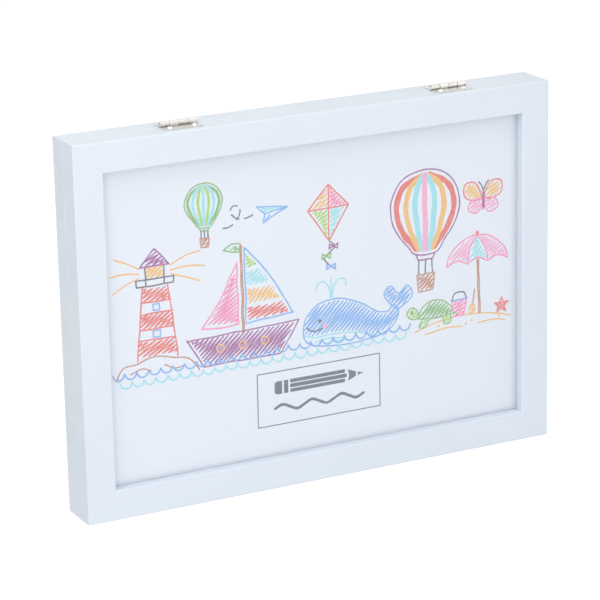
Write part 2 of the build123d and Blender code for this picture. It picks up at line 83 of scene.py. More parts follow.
def colour_setting(name, hex_colour, description):
    """A colour, with its default in sRGB hex."""
    return FloatVectorProperty(
        name=name, description=description, subtype="COLOR", size=4, min=0, max=1,
        default=linear(hex_colour))


def number_setting(name, default, description, **kind):
    """A number, of a kind that its unit, subtype or limits give."""
    return FloatProperty(name=name, description=description, default=default, **kind)


def power_setting(name, default, description):
    """A lamp's power in watts."""
    return number_setting(name, default, description, unit="POWER")


def length_setting(name, default, description):
    """A length in metres."""
    return number_setting(name, default, description, unit="LENGTH")


def angle_setting(name, degrees, description):
    """An angle, with its default in degrees."""
    return number_setting(name, math.radians(degrees), description, subtype="ANGLE")


class StageSettings(bpy.types.PropertyGroup):
    """Camera, lamps and surroundings."""

    azimuth: angle_setting("Azimuth", -26.766, "Turn of the line of sight about Z; 0 looks along +Y")
    elevation: angle_setting("Elevation", 17.025, "Height of the camera above the horizon")
    roll: angle_setting("Roll", -1.227, "Turn of the camera about its line of sight")
    distance: length_setting("Distance", 1806.2 * MM, "From the middle of the door's front to the camera")
    aside: length_setting("Aside", 14.72 * MM, "How far the frame stands right of the picture's middle")
    above: length_setting("Above", 0.71 * MM, "How far the frame stands above the picture's middle")
    lens: number_setting("Lens", 172.95, "Focal length of the camera on a 36 mm sensor, in millimetres")
    dome_strength: number_setting("Dome", 0.45, "Light from all round, as a share of full white", min=0)
    floor_size: length_setting("Floor", 12.0, "Side of the square floor")
    floor_colour: colour_setting("Floor colour", "#E8EAEC", "Pale seamless floor")
    floor_shadow: number_setting(
        "Floor shadow", 0.42, "Share of the lamps' light that the camera sees on the floor", min=0, max=1)
    floor_glow: number_setting("Floor glow", 0.84, "White that the floor adds to it", min=0)
    floor_drop: length_setting("Floor drop", 0.05 * MM, "How far the floor lies below the frame")


# Square panels of the light tent. Azimuth 0 is straight in front, and negative azimuths are on the left.
LAMP_SETTINGS = {
    "size": (length_setting, "Side of the lamp's panel"),
    "distance": (length_setting, "From the door's middle to the lamp"),
    "azimuth": (angle_setting, "Side on which the lamp stands"),
    "elevation": (angle_setting, "Height of the lamp above the horizon"),
    "power": (power_setting, "Power of the lamp"),
}
LAMPS = {
    "front": (1.1, 1.4, -27, 12, 6.5),
    "right": (1.0, 1.4, 50, 15, 1.5),
    "overhead": (2.0, 1.1, 0, 88, 3.6),
    "upper_left": (1.4, 1.2, -50, 60, 5.8),
}
for lamp, defaults in LAMPS.items():
    for (key, (setting, description)), default in zip(LAMP_SETTINGS.items(), defaults):
        label = f"{lamp} {key}".replace("_", " ").capitalize()
        StageSettings.__annotations__[f"{lamp}_{key}"] = setting(label, default, description)


class FinishSettings(bpy.types.PropertyGroup):
    """Colours of the finishes."""

    paint: colour_setting("Paint", "#E4ECF5", "Sprayed satin white of the mouldings and walls")
    paint_shade: colour_setting("Paint, thin", "#E2EAF3", "The same white where the spray lies thinner")
    glass: colour_setting("Glass", "#FEFEFE", "Clear window pane")
    paper: colour_setting("Paper", "#E9EFF9", "Drawing paper")
    paper_fibre: colour_setting("Paper fibre", "#E4EBF4", "Fibres in the drawing paper")
    nickel: colour_setting("Nickel", "#E0DEDA", "Plating of the hinges and their screws")
    nickel_dull: colour_setting("Nickel, dull", "#CBC8C2", "The same plating where it is handled or scuffed")
    zinc: colour_setting("Zinc", "#B0B4B9", "Plating of the staples, nails, points and hangers")
    zinc_dull: colour_setting("Zinc, dull", "#868B91", "The same plating where it has dulled")
    magnet: colour_setting("Magnet", "#BDBCBC", "Plating of the two catch magnets")
    elastic: colour_setting("Elastic", "#E9E8E4", "Yarn of the storage straps")
    elastic_groove: colour_setting("Elastic groove", "#C9C7C1", "Rubber that shows between the yarns")
    board: colour_setting("Grey board", "#98958C", "Backing card")
    board_fleck: colour_setting("Board fleck", "#6F6B62", "Darker fibres in the backing card")
    hardboard: colour_setting("Hardboard", "#8A6642", "Back panel")
    hardboard_fibre: colour_setting("Hardboard fibre", "#5E4028", "Darker fibres in the back panel")


class DrawingSettings(bpy.types.PropertyGroup):
    """Sizes and colours of the drawing on the sheet."""

    outline_width: length_setting("Outline", 0.95 * MM, "Width of a crayon outline")
    scribble_width: length_setting("Scribble", 0.95 * MM, "Width of a shading stroke")
    scribble_pitch: length_setting(
        "Scribble pitch", 1.12 * MM, "Distance from one shading stroke to the next")
    scribble_slant: angle_setting("Scribble slant", 38, "Slope of the shading strokes")
    band_share: number_setting("Band", 0.047, "Width of a broad stripe, as a share of its motif's height")
    shake: length_setting("Shake", 0.55 * MM, "How far an unsteady hand strays")
    shake_length: length_setting("Shake length", 13 * MM, "Length of one stray to the side")
    caption_width: length_setting("Caption width", 88 * MM, "Width of the ruled box below the drawing")
    caption_height: length_setting("Caption height", 36 * MM, "Height of the ruled box")
    caption_base: length_setting(
        "Caption base", 19.5 * MM, "Height of the ruled box above the sight opening's lower edge")
    rule_width: length_setting("Rule", 0.7 * MM, "Width of the printed rule")
    ink: colour_setting("Ink", "#606A78", "Printed box and pencil below the drawing")


CRAYONS = {
    "coral": "#E66A60",
    "yellow": "#F2BC66",
    "aqua": "#98E0EC",
    "pink": "#F4ABD2",
    "hot_pink": "#F588B8",
    "green": "#80B76C",
    "lime": "#A9D566",
    "purple": "#A04E98",
    "brown": "#C08468",
    "blue": "#74AEEE",
    "grey": "#5C5C6A",
}
for crayon, hex_colour in CRAYONS.items():
    label = crayon.replace("_", " ").capitalize()
    DrawingSettings.__annotations__[crayon] = colour_setting(label, hex_colour, "Wax crayon")


class HardwareSettings(bpy.types.PropertyGroup):
    """Sizes of the screws and straps."""

    core_radius: length_setting("Screw core", 0.68 * MM, "Radius at the root of the thread")
    thread_radius: length_setting("Screw thread", 1.0 * MM, "Radius at the crest of the thread")
    thread_pitch: length_setting("Thread pitch", 0.9 * MM, "Advance of the screw in one turn")
    head_height: length_setting("Head height", 1.1 * MM, "Height of the round head")
    recess_length: length_setting("Recess length", 2.1 * MM, "Length of each arm of the cross, tip to tip")
    recess_width: length_setting("Recess width", 0.5 * MM, "Width of an arm of the cross")
    recess_depth: length_setting("Recess depth", 0.75 * MM, "Depth of the cross below the head's top")
    strap_thickness: length_setting("Strap thickness", 1.0 * MM, "Thickness of the elastic")
    rib_groove: length_setting("Rib groove", 0.16 * MM, "Depth of the grooves between the elastic's ribs")
    rib_count: IntProperty(name="Ribs", description="Number of ribs across one strap", min=3, default=9)


# Materials

def add_node(tree, kind, inputs=None, **settings):
    """Add a node with its settings; an input takes a value, a socket, or a node for its first output."""
    node = tree.nodes.new(f"ShaderNode{kind}")
    for name, value in settings.items():
        setattr(node, name, value)
    for key, value in (inputs or {}).items():
        if isinstance(value, bpy.types.Node):
            value = value.outputs[0]
        if isinstance(value, bpy.types.NodeSocket):
            tree.links.new(value, node.inputs[key])
        else:
            node.inputs[key].default_value = value
    return node


def empty_tree(owner):
    """Empty a material's or world's node tree, and return add_node for it."""
    owner.use_nodes = True
    owner.node_tree.nodes.clear()
    return partial(add_node, owner.node_tree)


def start_material(name):
    """An empty material, as (material, add_node for it, object coordinates)."""
    material = bpy.data.materials.new(name)
    add = empty_tree(material)
    return material, add, add("TexCoord").outputs["Object"]


# Noise stays mostly between these values, so they are what a pattern is spread from.
NOISE_RANGE = {"From Min": 0.3, "From Max": 0.7}

# A Mix node's sockets for its share and its two colours, and the output that holds the mixed colour
MIX_SHARE, MIX_FIRST, MIX_SECOND, MIX_COLOUR = 0, 6, 7, 2


def surface(add, share, first, second, inputs, height=None, depth=None):
    """End a material: one colour gives way to another by a share, with relief of a real depth."""
    mixed = add("Mix", {MIX_SHARE: share, MIX_FIRST: first, MIX_SECOND: second}, data_type="RGBA")
    inputs = {"Base Color": mixed.outputs[MIX_COLOUR], **inputs}
    if height is not None:
        inputs["Normal"] = add("Bump", {"Height": height, "Distance": depth})
    add("OutputMaterial", {"Surface": add("BsdfPrincipled", inputs)})


def sprayed_fibreboard(finish):
    """Medium-density fibreboard moulding, primed and sprayed with satin acrylic lacquer.

    It gives the eye an even cool white with a soft sheen and, close up, faint orange peel.
    """
    spray_pass, peel_size, peel_depth = 28 * MM, 1.4 * MM, 0.018 * MM
    # The real dust nibs are 0.05 mm; they are drawn at 0.5 mm, so that they just show.
    nib_size = 0.5 * MM
    material, add, place = start_material("sprayed_fibreboard")
    cloud = add("TexNoise", {"Vector": place, "Scale": 1 / spray_pass})
    peel = add("TexNoise", {"Vector": place, "Scale": 1 / peel_size})
    nib = add("TexNoise", {"Vector": place, "Scale": 1 / nib_size, "Detail": 1.0})
    thin = add("MapRange", {"Value": cloud, **NOISE_RANGE})
    sheen = add("MapRange", {"Value": cloud, **NOISE_RANGE, "To Min": 0.4, "To Max": 0.5})
    nibs = add("MapRange", {"Value": nib, "From Min": 0.66, "From Max": 0.8, "To Max": 0.5})
    height = add("Math", {0: peel, 1: nibs}, operation="ADD")
    gloss = {"Roughness": sheen, "IOR": 1.5}
    surface(add, thin, finish.paint, finish.paint_shade, gloss, height, peel_depth)
    return material


def float_glass(finish):
    """Thin float glass, cut and eased at the edge: clear, flat and sharp in its gloss.

    Light on its way to the drawing passes straight through it, so each lamp counts once there.
    """
    haze_size = 35 * MM
    material, add, place = start_material("float_glass")
    haze = add("TexNoise", {"Vector": place, "Scale": 1 / haze_size})
    wiped = add("MapRange", {"Value": haze, "From Min": 0.4, "From Max": 0.8, "To Max": 0.02})
    clear = add("BsdfPrincipled", {
        "Base Color": finish.glass,
        "Roughness": wiped,
        "IOR": 1.52,
        "Transmission Weight": 1.0,
    })
    passing = add("BsdfTransparent", {"Color": finish.glass})
    path = add("LightPath").outputs
    lit = add("MixShader", {0: path["Is Shadow Ray"], 1: clear, 2: passing})
    shader = add("MixShader", {0: path["Is Diffuse Ray"], 1: lit, 2: passing})
    add("OutputMaterial", {"Surface": shader})
    return material


def cartridge_paper(finish):
    """Smooth white cartridge paper: matt, with a felt-marked tooth and fine fibres."""
    # Paper fibres are 0.03 mm wide; they are drawn ten times as wide, so that they show.
    fibre_width, fibre_length = 0.3 * MM, 1.2 * MM
    tooth_size, tooth_depth = 0.5 * MM, 0.02 * MM
    material, add, place = start_material("cartridge_paper")
    along = add("Mapping", {"Vector": place, "Scale": (1 / fibre_length, 1 / fibre_width, 1 / fibre_width)})
    fibre = add("TexNoise", {"Vector": along, "Scale": 1.0})
    tooth = add("TexNoise", {"Vector": place, "Scale": 1 / tooth_size})
    shown = add("MapRange", {"Value": fibre, "From Min": 0.45, "From Max": 0.8})
    matt = {"Roughness": 0.85, "IOR": 1.45}
    surface(add, shown, finish.paper, finish.paper_fibre, matt, tooth, tooth_depth)
    return material


def wax_crayon(crayon, colour, paper):
    """Wax crayon on paper: a soft sheen, broken where the paper's tooth took no wax."""
    # The tooth is 0.2 mm on the real paper; it is drawn three times as coarse, so that it shows.
    tooth_size, tooth_depth = 0.6 * MM, 0.02 * MM
    material, add, place = start_material(f"wax_crayon_{crayon}")
    tooth = add("TexNoise", {"Vector": place, "Scale": 1 / tooth_size, "Detail": 3.0})
    missed = add("MapRange", {"Value": tooth, "From Min": 0.52, "From Max": 0.72, "To Max": 0.62})
    sheen = add("MapRange", {
        "Value": tooth, **NOISE_RANGE, "From Min": 0.4, "To Min": 0.45, "To Max": 0.7})
    surface(add, missed, colour, paper, {"Roughness": sheen, "IOR": 1.44}, tooth, tooth_depth)
    return material


def offset_ink(drawing, finish):
    """Grey offset printing ink, which lies flat and takes a little of the paper's grain."""
    grain_size = 0.5 * MM
    material, add, place = start_material("offset_ink")
    grain = add("TexNoise", {"Vector": place, "Scale": 1 / grain_size})
    starved = add("MapRange", {"Value": grain, "From Min": 0.5, "From Max": 0.8, "To Max": 0.2})
    surface(add, starved, drawing.ink, finish.paper, {"Roughness": 0.6, "IOR": 1.48})
    return material


def nickel_plated_steel(finish):
    """Rolled steel strip, nickel plated after stamping: bright and warm, with drawing lines along it.

    The plating dulls in patches where it has been handled.
    """
    # The drawing lines are 0.02 mm apart; they are drawn at 0.12 mm, so that they show.
    line_pitch, line_length, line_depth = 0.12 * MM, 7.2 * MM, 0.004 * MM
    handled_size = 2.5 * MM
    material, add, place = start_material("nickel_plated_steel")
    drawn = add("Mapping", {"Vector": place, "Scale": (1 / line_length, 1 / line_pitch, 1 / line_pitch)})
    lines = add("TexNoise", {"Vector": drawn, "Scale": 1.0})
    patch = add("TexNoise", {"Vector": place, "Scale": 1 / handled_size})
    handled = add("MapRange", {"Value": patch, "From Min": 0.45, "From Max": 0.75})
    rough = add("MapRange", {"Value": lines, **NOISE_RANGE, "To Min": 0.16, "To Max": 0.34})
    metal = {"Metallic": 1.0, "Roughness": rough}
    surface(add, handled, finish.nickel, finish.nickel_dull, metal, lines, line_depth)
    return material


def bright_zinc_plate(finish):
    """Steel with bright electroplated zinc: cool grey, with crystals that catch the light in turn."""
    crystal_size, scuff_width, scuff_length, scuff_depth = 1.1 * MM, 0.25 * MM, 2 * MM, 0.004 * MM
    material, add, place = start_material("bright_zinc_plate")
    cells = add("TexVoronoi", {"Vector": place, "Scale": 1 / crystal_size})
    shade = add("MapRange", {"Value": cells.outputs["Color"], "To Max": 0.35})
    rubbed = add("Mapping", {
        "Vector": place, "Scale": (1 / scuff_length, 1 / scuff_width, 1 / scuff_length)})
    scuff = add("TexNoise", {"Vector": rubbed, "Scale": 1.0})
    rough = add("MapRange", {"Value": scuff, **NOISE_RANGE, "To Min": 0.24, "To Max": 0.42})
    metal = {"Metallic": 1.0, "Roughness": rough}
    surface(add, shade, finish.zinc, finish.zinc_dull, metal, scuff, scuff_depth)
    return material


def nickel_plated_magnet(finish):
    """Sintered magnet under barrel-plated nickel: mirror bright, with fine pits and smudges."""
    smudge_size, pit_size, pit_depth = 1.5 * MM, 0.3 * MM, 0.003 * MM
    material, add, place = start_material("nickel_plated_magnet")
    smudge = add("TexNoise", {"Vector": place, "Scale": 1 / smudge_size})
    pit = add("TexNoise", {"Vector": place, "Scale": 1 / pit_size})
    dulled = add("MapRange", {"Value": smudge, "From Min": 0.4, "From Max": 0.8})
    rough = add("MapRange", {"Value": smudge, **NOISE_RANGE, "From Max": 0.8, "To Min": 0.08, "To Max": 0.3})
    metal = {"Metallic": 1.0, "Roughness": rough}
    surface(add, dulled, finish.magnet, finish.zinc_dull, metal, pit, pit_depth)
    return material


def knitted_elastic(finish):
    """Knitted elastic: white yarn over rubber, with a short stitch across every rib."""
    stitch_length, stitch_depth = 0.9 * MM, 0.12 * MM
    yarn_width, yarn_length = 0.2 * MM, 0.6 * MM
    # At a scale of 1 the wave texture repeats every tau / 20.
    wave_scale = math.tau / (20 * stitch_length)
    material, add, place = start_material("knitted_elastic")
    stitch = add(
        "TexWave", {"Vector": place, "Scale": wave_scale, "Distortion": 0.4, "Detail": 1.0},
        wave_type="BANDS", bands_direction="Z", wave_profile="SIN").outputs["Fac"]
    spun = add("Mapping", {"Vector": place, "Scale": (1 / yarn_width, 1 / yarn_width, 1 / yarn_length)})
    yarn = add("TexNoise", {"Vector": spun, "Scale": 1.0})
    groove = add("MapRange", {"Value": stitch, "From Max": 0.45, "To Min": 0.7, "To Max": 0.0})
    height = add("Math", {0: stitch, 1: yarn}, operation="ADD")
    cloth = {"Roughness": 0.85, "Sheen Weight": 0.3, "Sheen Roughness": 0.4}
    surface(add, groove, finish.elastic, finish.elastic_groove, cloth, height, stitch_depth)
    return material


def grey_board(finish):
    """Uncoated board from waste paper: matt warm grey, flecked with darker fibres."""
    fleck_width, fleck_length, felt_size, felt_depth = 0.7 * MM, 2.1 * MM, 1.2 * MM, 0.05 * MM
    material, add, place = start_material("grey_board")
    rolled = add("Mapping", {"Vector": place, "Scale": (1 / fleck_length, 1 / fleck_width, 1 / fleck_width)})
    fleck = add("TexNoise", {"Vector": rolled, "Scale": 1.0, "Detail": 4.0})
    felt = add("TexNoise", {"Vector": place, "Scale": 1 / felt_size})
    shown = add("MapRange", {"Value": fleck, "From Min": 0.52, "From Max": 0.72, "To Max": 0.8})
    matt = {"Roughness": 0.9, "IOR": 1.45}
    surface(add, shown, finish.board, finish.board_fleck, matt, felt, felt_depth)
    return material


def pressed_hardboard(finish):
    """Wood fibre pressed hot and hard: brown, smooth and a little shiny, with matted dark fibres."""
    fibre_width, fibre_length, fibre_depth = 0.5 * MM, 1.5 * MM, 0.03 * MM
    # Fibre gathers unevenly on the press's screen, in faint patches.
    patch_size = 45 * MM
    material, add, place = start_material("pressed_hardboard")
    matted = add("Mapping", {"Vector": place, "Scale": (1 / fibre_length, 1 / fibre_width, 1 / fibre_width)})
    fibre = add("TexNoise", {"Vector": matted, "Scale": 1.0, "Detail": 4.0})
    patch = add("TexNoise", {"Vector": place, "Scale": 1 / patch_size})
    gathered = add("MapRange", {"Value": patch, **NOISE_RANGE, "To Min": -0.03, "To Max": 0.03})
    both = add("Math", {0: fibre, 1: gathered}, operation="ADD")
    shown = add("MapRange", {"Value": both, "From Min": 0.4, "From Max": 0.75, "To Max": 0.75})
    rough = add("MapRange", {"Value": fibre, **NOISE_RANGE, "To Min": 0.42, "To Max": 0.62})
    gloss = {"Roughness": rough, "IOR": 1.5}
    surface(add, shown, finish.hardboard, finish.hardboard_fibre, gloss, fibre, fibre_depth)
    return material


# Objects and meshes

def dress(material, *names):
    """Give packed nodes their material."""
    for name in names:
        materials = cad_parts[name].data.materials
        materials.clear()
        materials.append(material)


def linked(name, data):
    """A new object in the scene, from its mesh, lamp or camera."""
    made = bpy.data.objects.new(name, data)
    bpy.context.scene.collection.objects.link(made)
    return made


def new_object(name, mesh, material):
    """A new object with one material."""
    mesh.materials.append(material)
    return linked(name, mesh)


def mesh_of(name, vertices, faces):
    """A mesh from lists of vertices and faces."""
    mesh = bpy.data.meshes.new(name)
    mesh.from_pydata(vertices, [], faces)
    mesh.validate()
    return mesh


def tube_faces(count, rings, first=0):
    """Side faces of a tube whose rings have count vertices each, from the vertex with index first."""
    sides = [(at, (at + 1) % count) for at in range(count)]
    faces = []
    for low in range(first, first + (rings - 1) * count, count):
        faces += [(low + a, low + b, low + count + b, low + count + a) for a, b in sides]
    return faces


def closed_faces(count, rings, first=0):
    """The faces of such a tube with both its ends closed."""
    last = first + (rings - 1) * count
    ends = [tuple(reversed(range(first, first + count))), tuple(range(last, last + count))]
    return ends + tube_faces(count, rings, first)


# Stage

# Width of the camera's sensor in millimetres, and its nearest distance
SENSOR_WIDTH, NEAREST = 36.0, 50 * MM


def sight_line(azimuth, elevation):
    """Unit vector from the frame towards a camera or lamp at that azimuth and elevation."""
    level = math.cos(elevation)
    return Vector((math.sin(azimuth) * level, -math.cos(azimuth) * level, math.sin(elevation)))


def place_camera(stage):
    """A long lens, turned, raised and rolled as the photograph's camera was."""
    back = sight_line(stage.azimuth, stage.elevation)
    level_right = (-back).cross(Vector((0, 0, 1))).normalized()
    level_up = level_right.cross(-back)
    right = math.cos(stage.roll) * level_right + math.sin(stage.roll) * level_up
    up = math.cos(stage.roll) * level_up - math.sin(stage.roll) * level_right
    lens = bpy.data.cameras.new("camera")
    lens.sensor_width = SENSOR_WIDTH
    lens.lens = stage.lens
    lens.clip_start = NEAREST
    camera = linked("camera", lens)
    pose = Matrix((right, up, back)).transposed().to_4x4()
    pose.translation = DOOR_MIDDLE + stage.distance * back - stage.aside * right - stage.above * up
    camera.matrix_world = pose
    bpy.context.scene.camera = camera


def place_lamp(stage, name):
    """One soft square panel that faces the frame, from the stage's settings of that name."""
    side, distance, azimuth, elevation, power = (getattr(stage, f"{name}_{key}") for key in LAMP_SETTINGS)
    lamp = bpy.data.lights.new(f"{name}_lamp", "AREA")
    lamp.energy = power
    lamp.size = side
    towards = sight_line(azimuth, elevation)
    holder = linked(f"{name}_lamp", lamp)
    holder.location = DOOR_MIDDLE + distance * towards
    holder.rotation_mode = "QUATERNION"
    holder.rotation_quaternion = (-towards).to_track_quat("-Z", "Y")


def background_ray(add):
    """One for the rays that should see the white background, and zero for the rest.

    Light that has left a matt surface doesn't see it, even where it passes the glass.
    """
    path = add("LightPath").outputs
    # Bounces are counted in whole numbers, so a half lies between none and the first.
    half_bounce = 0.5
    either = add("Math", {0: path["Is Camera Ray"], 1: path["Is Glossy Ray"]}, operation="MAXIMUM")
    seen = add("Math", {0: either, 1: path["Is Transmission Ray"]}, operation="MAXIMUM")
    no_bounce_yet = add("Math", {0: path["Diffuse Depth"], 1: half_bounce}, operation="LESS_THAN")
    return add("Math", {0: seen, 1: no_bounce_yet}, operation="MULTIPLY")


def seamless_floor(stage):
    """Pale floor that reads white and keeps a light, soft shadow."""
    material = bpy.data.materials.new("seamless_floor")
    add = empty_tree(material)
    grey = (stage.floor_shadow, stage.floor_shadow, stage.floor_shadow, 1)
    matt = add("BsdfDiffuse", {"Color": stage.floor_colour})
    shaded = add("BsdfDiffuse", {"Color": grey})
    glow = add("Emission", {"Strength": stage.floor_glow})
    white = add("AddShader", {0: shaded, 1: glow})
    shader = add("MixShader", {0: background_ray(add), 1: matt, 2: white})
    add("OutputMaterial", {"Surface": shader})
    half, depth = stage.floor_size / 2, -stage.floor_drop
    corners = [(-half, -half, depth), (half, -half, depth), (half, half, depth), (-half, half, depth)]
    floor = new_object("floor", mesh_of("floor", corners, [(0, 1, 2, 3)]), material)


def white_world(stage):
    """A dull dome that lights the frame, and plain white wherever the background is seen."""
    world = bpy.data.worlds.new("white_world")
    bpy.context.scene.world = world
    add = empty_tree(world)
    plain = (1, 1, 1, 1)
    dome = add("Background", {"Color": plain, "Strength": stage.dome_strength})
    white = add("Background", {"Color": plain, "Strength": 1.0})
    shader = add("MixShader", {0: background_ray(add), 1: dome, 2: white})
    add("OutputWorld", {"Surface": shader})


class FRAME_OT_stage(bpy.types.Operator):
    """Place the camera, the lamps, the floor and the white surroundings"""

    bl_idname = "drawing_frame.stage"
    bl_label = "Stage"

    def execute(self, context):
        stage = context.scene.frame_stage
        place_camera(stage)
        for name in LAMPS:
            place_lamp(stage, name)
        seamless_floor(stage)
        white_world(stage)
        context.scene.view_settings.view_transform = "Standard"
        return {"FINISHED"}


# Woodwork, glass, boards and plated fittings

class FRAME_OT_woodwork(bpy.types.Operator):
    """Spray the four door mouldings and the four box walls"""

    bl_idname = "drawing_frame.woodwork"
    bl_label = "Woodwork"

    def execute(self, context):
        paint = sprayed_fibreboard(context.scene.frame_finish)
        dress(paint, "door_top_rail", "door_bottom_rail", "door_left_stile", "door_right_stile")
        dress(paint, "box_top_wall", "box_bottom_wall", "box_left_wall", "box_right_wall")
        return {"FINISHED"}


class FRAME_OT_glazing(bpy.types.Operator):
    """Finish the window pane, the sheet behind it, the backing card and the back panel"""

    bl_idname = "drawing_frame.glazing"
    bl_label = "Glazing and boards"

    def execute(self, context):
        finish = context.scene.frame_finish
        dress(float_glass(finish), "window_pane")
        dress(cartridge_paper(finish), "artwork_sheet")
        dress(grey_board(finish), "backing_card")
        dress(pressed_hardboard(finish), "back_panel")
        return {"FINISHED"}


class FRAME_OT_fittings(bpy.types.Operator):
    """Plate the hinges, pins, nails, points, staples, hangers and catch"""

    bl_idname = "drawing_frame.fittings"
    bl_label = "Plated fittings"

    def execute(self, context):
        finish = context.scene.frame_finish
        nickel = nickel_plated_steel(finish)
        for side in ("left", "right"):
            dress(nickel, f"{side}_hinge_door_leaf", f"{side}_hinge_box_leaf", f"{side}_hinge_pin")
        zinc = bright_zinc_plate(finish)
        dress(zinc, "retaining_points", "door_corner_nails", "box_corner_nails", "back_panel_brads")
        dress(zinc, "strap_staples", "landscape_hanger", "portrait_hanger", "door_strike_discs")
        dress(nickel_plated_magnet(finish), "catch_magnets")
        return {"FINISHED"}


# Hinge screws

# Sides round a screw, rings in one turn of its thread, and steps from its head's rim to the top
SCREW_SIDES, TURN_RINGS, DOME_STEPS = 28, 12, 7
# The point tapers over this many turns, to this share of the full radius.
TAPER_TURNS, TIP_SHARE = 3, 0.12
# The thread's ridge falls to the core over one part in this many of the pitch, on each side.
RIDGE_SLOPE = 3
# Width of the recess's floor as a share of its mouth's, and how far the cutter reaches above the head
RECESS_FLOOR_SHARE, CUTTER_OVERRUN = 0.45, 0.2 * MM
# Faces that meet at more than this keep a sharp edge.
SHARP_ANGLE = math.radians(38)
# Each screw stops at its own angle, in degrees, as a driver leaves it.
SCREW_ANGLES = (12, 64, 33, 81, 47, 5, 72, 26)


def dome_profile(radius, height):
    """Radius and height of a round head, from its rim to just short of its top."""
    sphere = (radius ** 2 + height ** 2) / (2 * height)
    rim = math.asin(radius / sphere)
    angles = [rim * (1 - step / DOME_STEPS) for step in range(DOME_STEPS)]
    return [(sphere * math.sin(a), sphere * math.cos(a) - sphere + height) for a in angles]


def screw_body(hardware, head_radius, length):
    """Round head and tapering thread, about Z, with the head's seat at zero."""
    pitch, core = hardware.thread_pitch, hardware.core_radius
    rings = int(length / pitch * TURN_RINGS)
    levels = []
    for ring in range(rings + 1):
        z = -length + length * ring / rings
        keep = min(1.0, TIP_SHARE + (z + length) / (TAPER_TURNS * pitch))
        phases = [(z / pitch - side / SCREW_SIDES) % 1.0 for side in range(SCREW_SIDES)]
        crests = [max(0.0, 1 - RIDGE_SLOPE * abs(phase - 0.5)) for phase in phases]
        levels.append((z, [keep * (core + (hardware.thread_radius - core) * crest) for crest in crests]))
    levels += [(z, [radius] * SCREW_SIDES) for radius, z in dome_profile(head_radius, hardware.head_height)]
    vertices = []
    for z, radii in levels:
        for side, radius in enumerate(radii):
            angle = math.tau * side / SCREW_SIDES
            vertices.append((radius * math.cos(angle), radius * math.sin(angle), z))
    faces = tube_faces(SCREW_SIDES, len(levels))
    top = len(vertices)
    last = top - SCREW_SIDES
    vertices += [(0, 0, hardware.head_height), (0, 0, -length)]
    for side in range(SCREW_SIDES):
        following = (side + 1) % SCREW_SIDES
        faces += [(last + side, last + following, top), (following, side, top + 1)]
    return mesh_of("screw_body", vertices, faces)


def cross_cutter(hardware):
    """Tapering cross that the driver fits, as a mesh that reaches above the head."""
    half_length, half_width = hardware.recess_length / 2, hardware.recess_width / 2
    arm = ((half_length, -half_width), (half_length, half_width), (half_width, half_width))
    quarters = [Matrix.Rotation(quarter * math.pi / 2, 2) for quarter in range(4)]
    outline = [quarter @ Vector(point) for quarter in quarters for point in arm]
    top = hardware.head_height
    levels = ((top - hardware.recess_depth, RECESS_FLOOR_SHARE), (top + CUTTER_OVERRUN, 1.0))
    vertices = [(p.x * share, p.y * share, z) for z, share in levels for p in outline]
    return mesh_of("cross_cutter", vertices, closed_faces(len(outline), len(levels)))


def cut(mesh, tool):
    """The mesh with the tool's shape cut out of it."""
    body, cutter = linked("body", mesh), linked("cutter", tool)
    modifier = body.modifiers.new("recess", "BOOLEAN")
    modifier.object = cutter
    modifier.operation = "DIFFERENCE"
    modifier.solver = "EXACT"
    view = bpy.context.evaluated_depsgraph_get()
    result = bpy.data.meshes.new_from_object(body.evaluated_get(view))
    for made in (body, cutter):
        bpy.data.objects.remove(made)
    return result


class FRAME_OT_hinge_screws(bpy.types.Operator):
    """Make the round-head cross-recess screws of both hinges"""

    bl_idname = "drawing_frame.hinge_screws"
    bl_label = "Hinge screws"

    def execute(self, context):
        hardware = context.scene.frame_hardware
        nickel = bpy.data.materials["nickel_plated_steel"]
        low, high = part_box("left_hinge_door_screws")
        head_radius = (high.y - low.y) / 2
        length = high.z - low.z - hardware.head_height
        screw = cut(screw_body(hardware, head_radius, length), cross_cutter(hardware))
        angles = iter(SCREW_ANGLES)
        for body in ("door", "box"):
            for side in ("left", "right"):
                node = f"{side}_hinge_{body}_screws"
                low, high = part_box(node)
                both = bmesh.new()
                for x in (low.x + head_radius, high.x - head_radius):
                    single = screw.copy()
                    seat = Matrix.Translation((x, (low.y + high.y) / 2, high.z - hardware.head_height))
                    single.transform(seat @ Matrix.Rotation(math.radians(next(angles)), 4, "Z"))
                    both.from_mesh(single)
                mesh = bpy.data.meshes.new(node)
                both.to_mesh(mesh)
                both.free()
                mesh.shade_smooth()
                mesh.set_sharp_from_angle(angle=SHARP_ANGLE)
                screws = new_object(f"{side}_{body}_cross_screws", mesh, nickel)
                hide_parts(node)
                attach(screws, body)
        return {"FINISHED"}


# Storage straps

# Steps round each bend of a strap and across each of its ribs
BEND_STEPS, RIB_STEPS = 6, 6
# Thickness at a strap's edge as a share of its middle's, and how much of that is gained in one rib's width
EDGE_SHARE, EDGE_SLOPE = 0.35, 2


def strap_line(low, high, thickness):
    """Middle line of a strap in the YZ plane, from one turned-back end to the other, with its normals."""
    half = thickness / 2
    bend = thickness
    centre_y = low.y + half + bend
    line = [(high.y, low.z + half, math.radians(-90))]
    for centre_z, start in ((low.z + half + bend, -90), (high.z - half - bend, -180)):
        for step in range(BEND_STEPS + 1):
            angle = math.radians(start - 90 * step / BEND_STEPS)
            line.append((centre_y + bend * math.cos(angle), centre_z + bend * math.sin(angle), angle))
    line.append((high.y, high.z - half, math.radians(-270)))
    return line


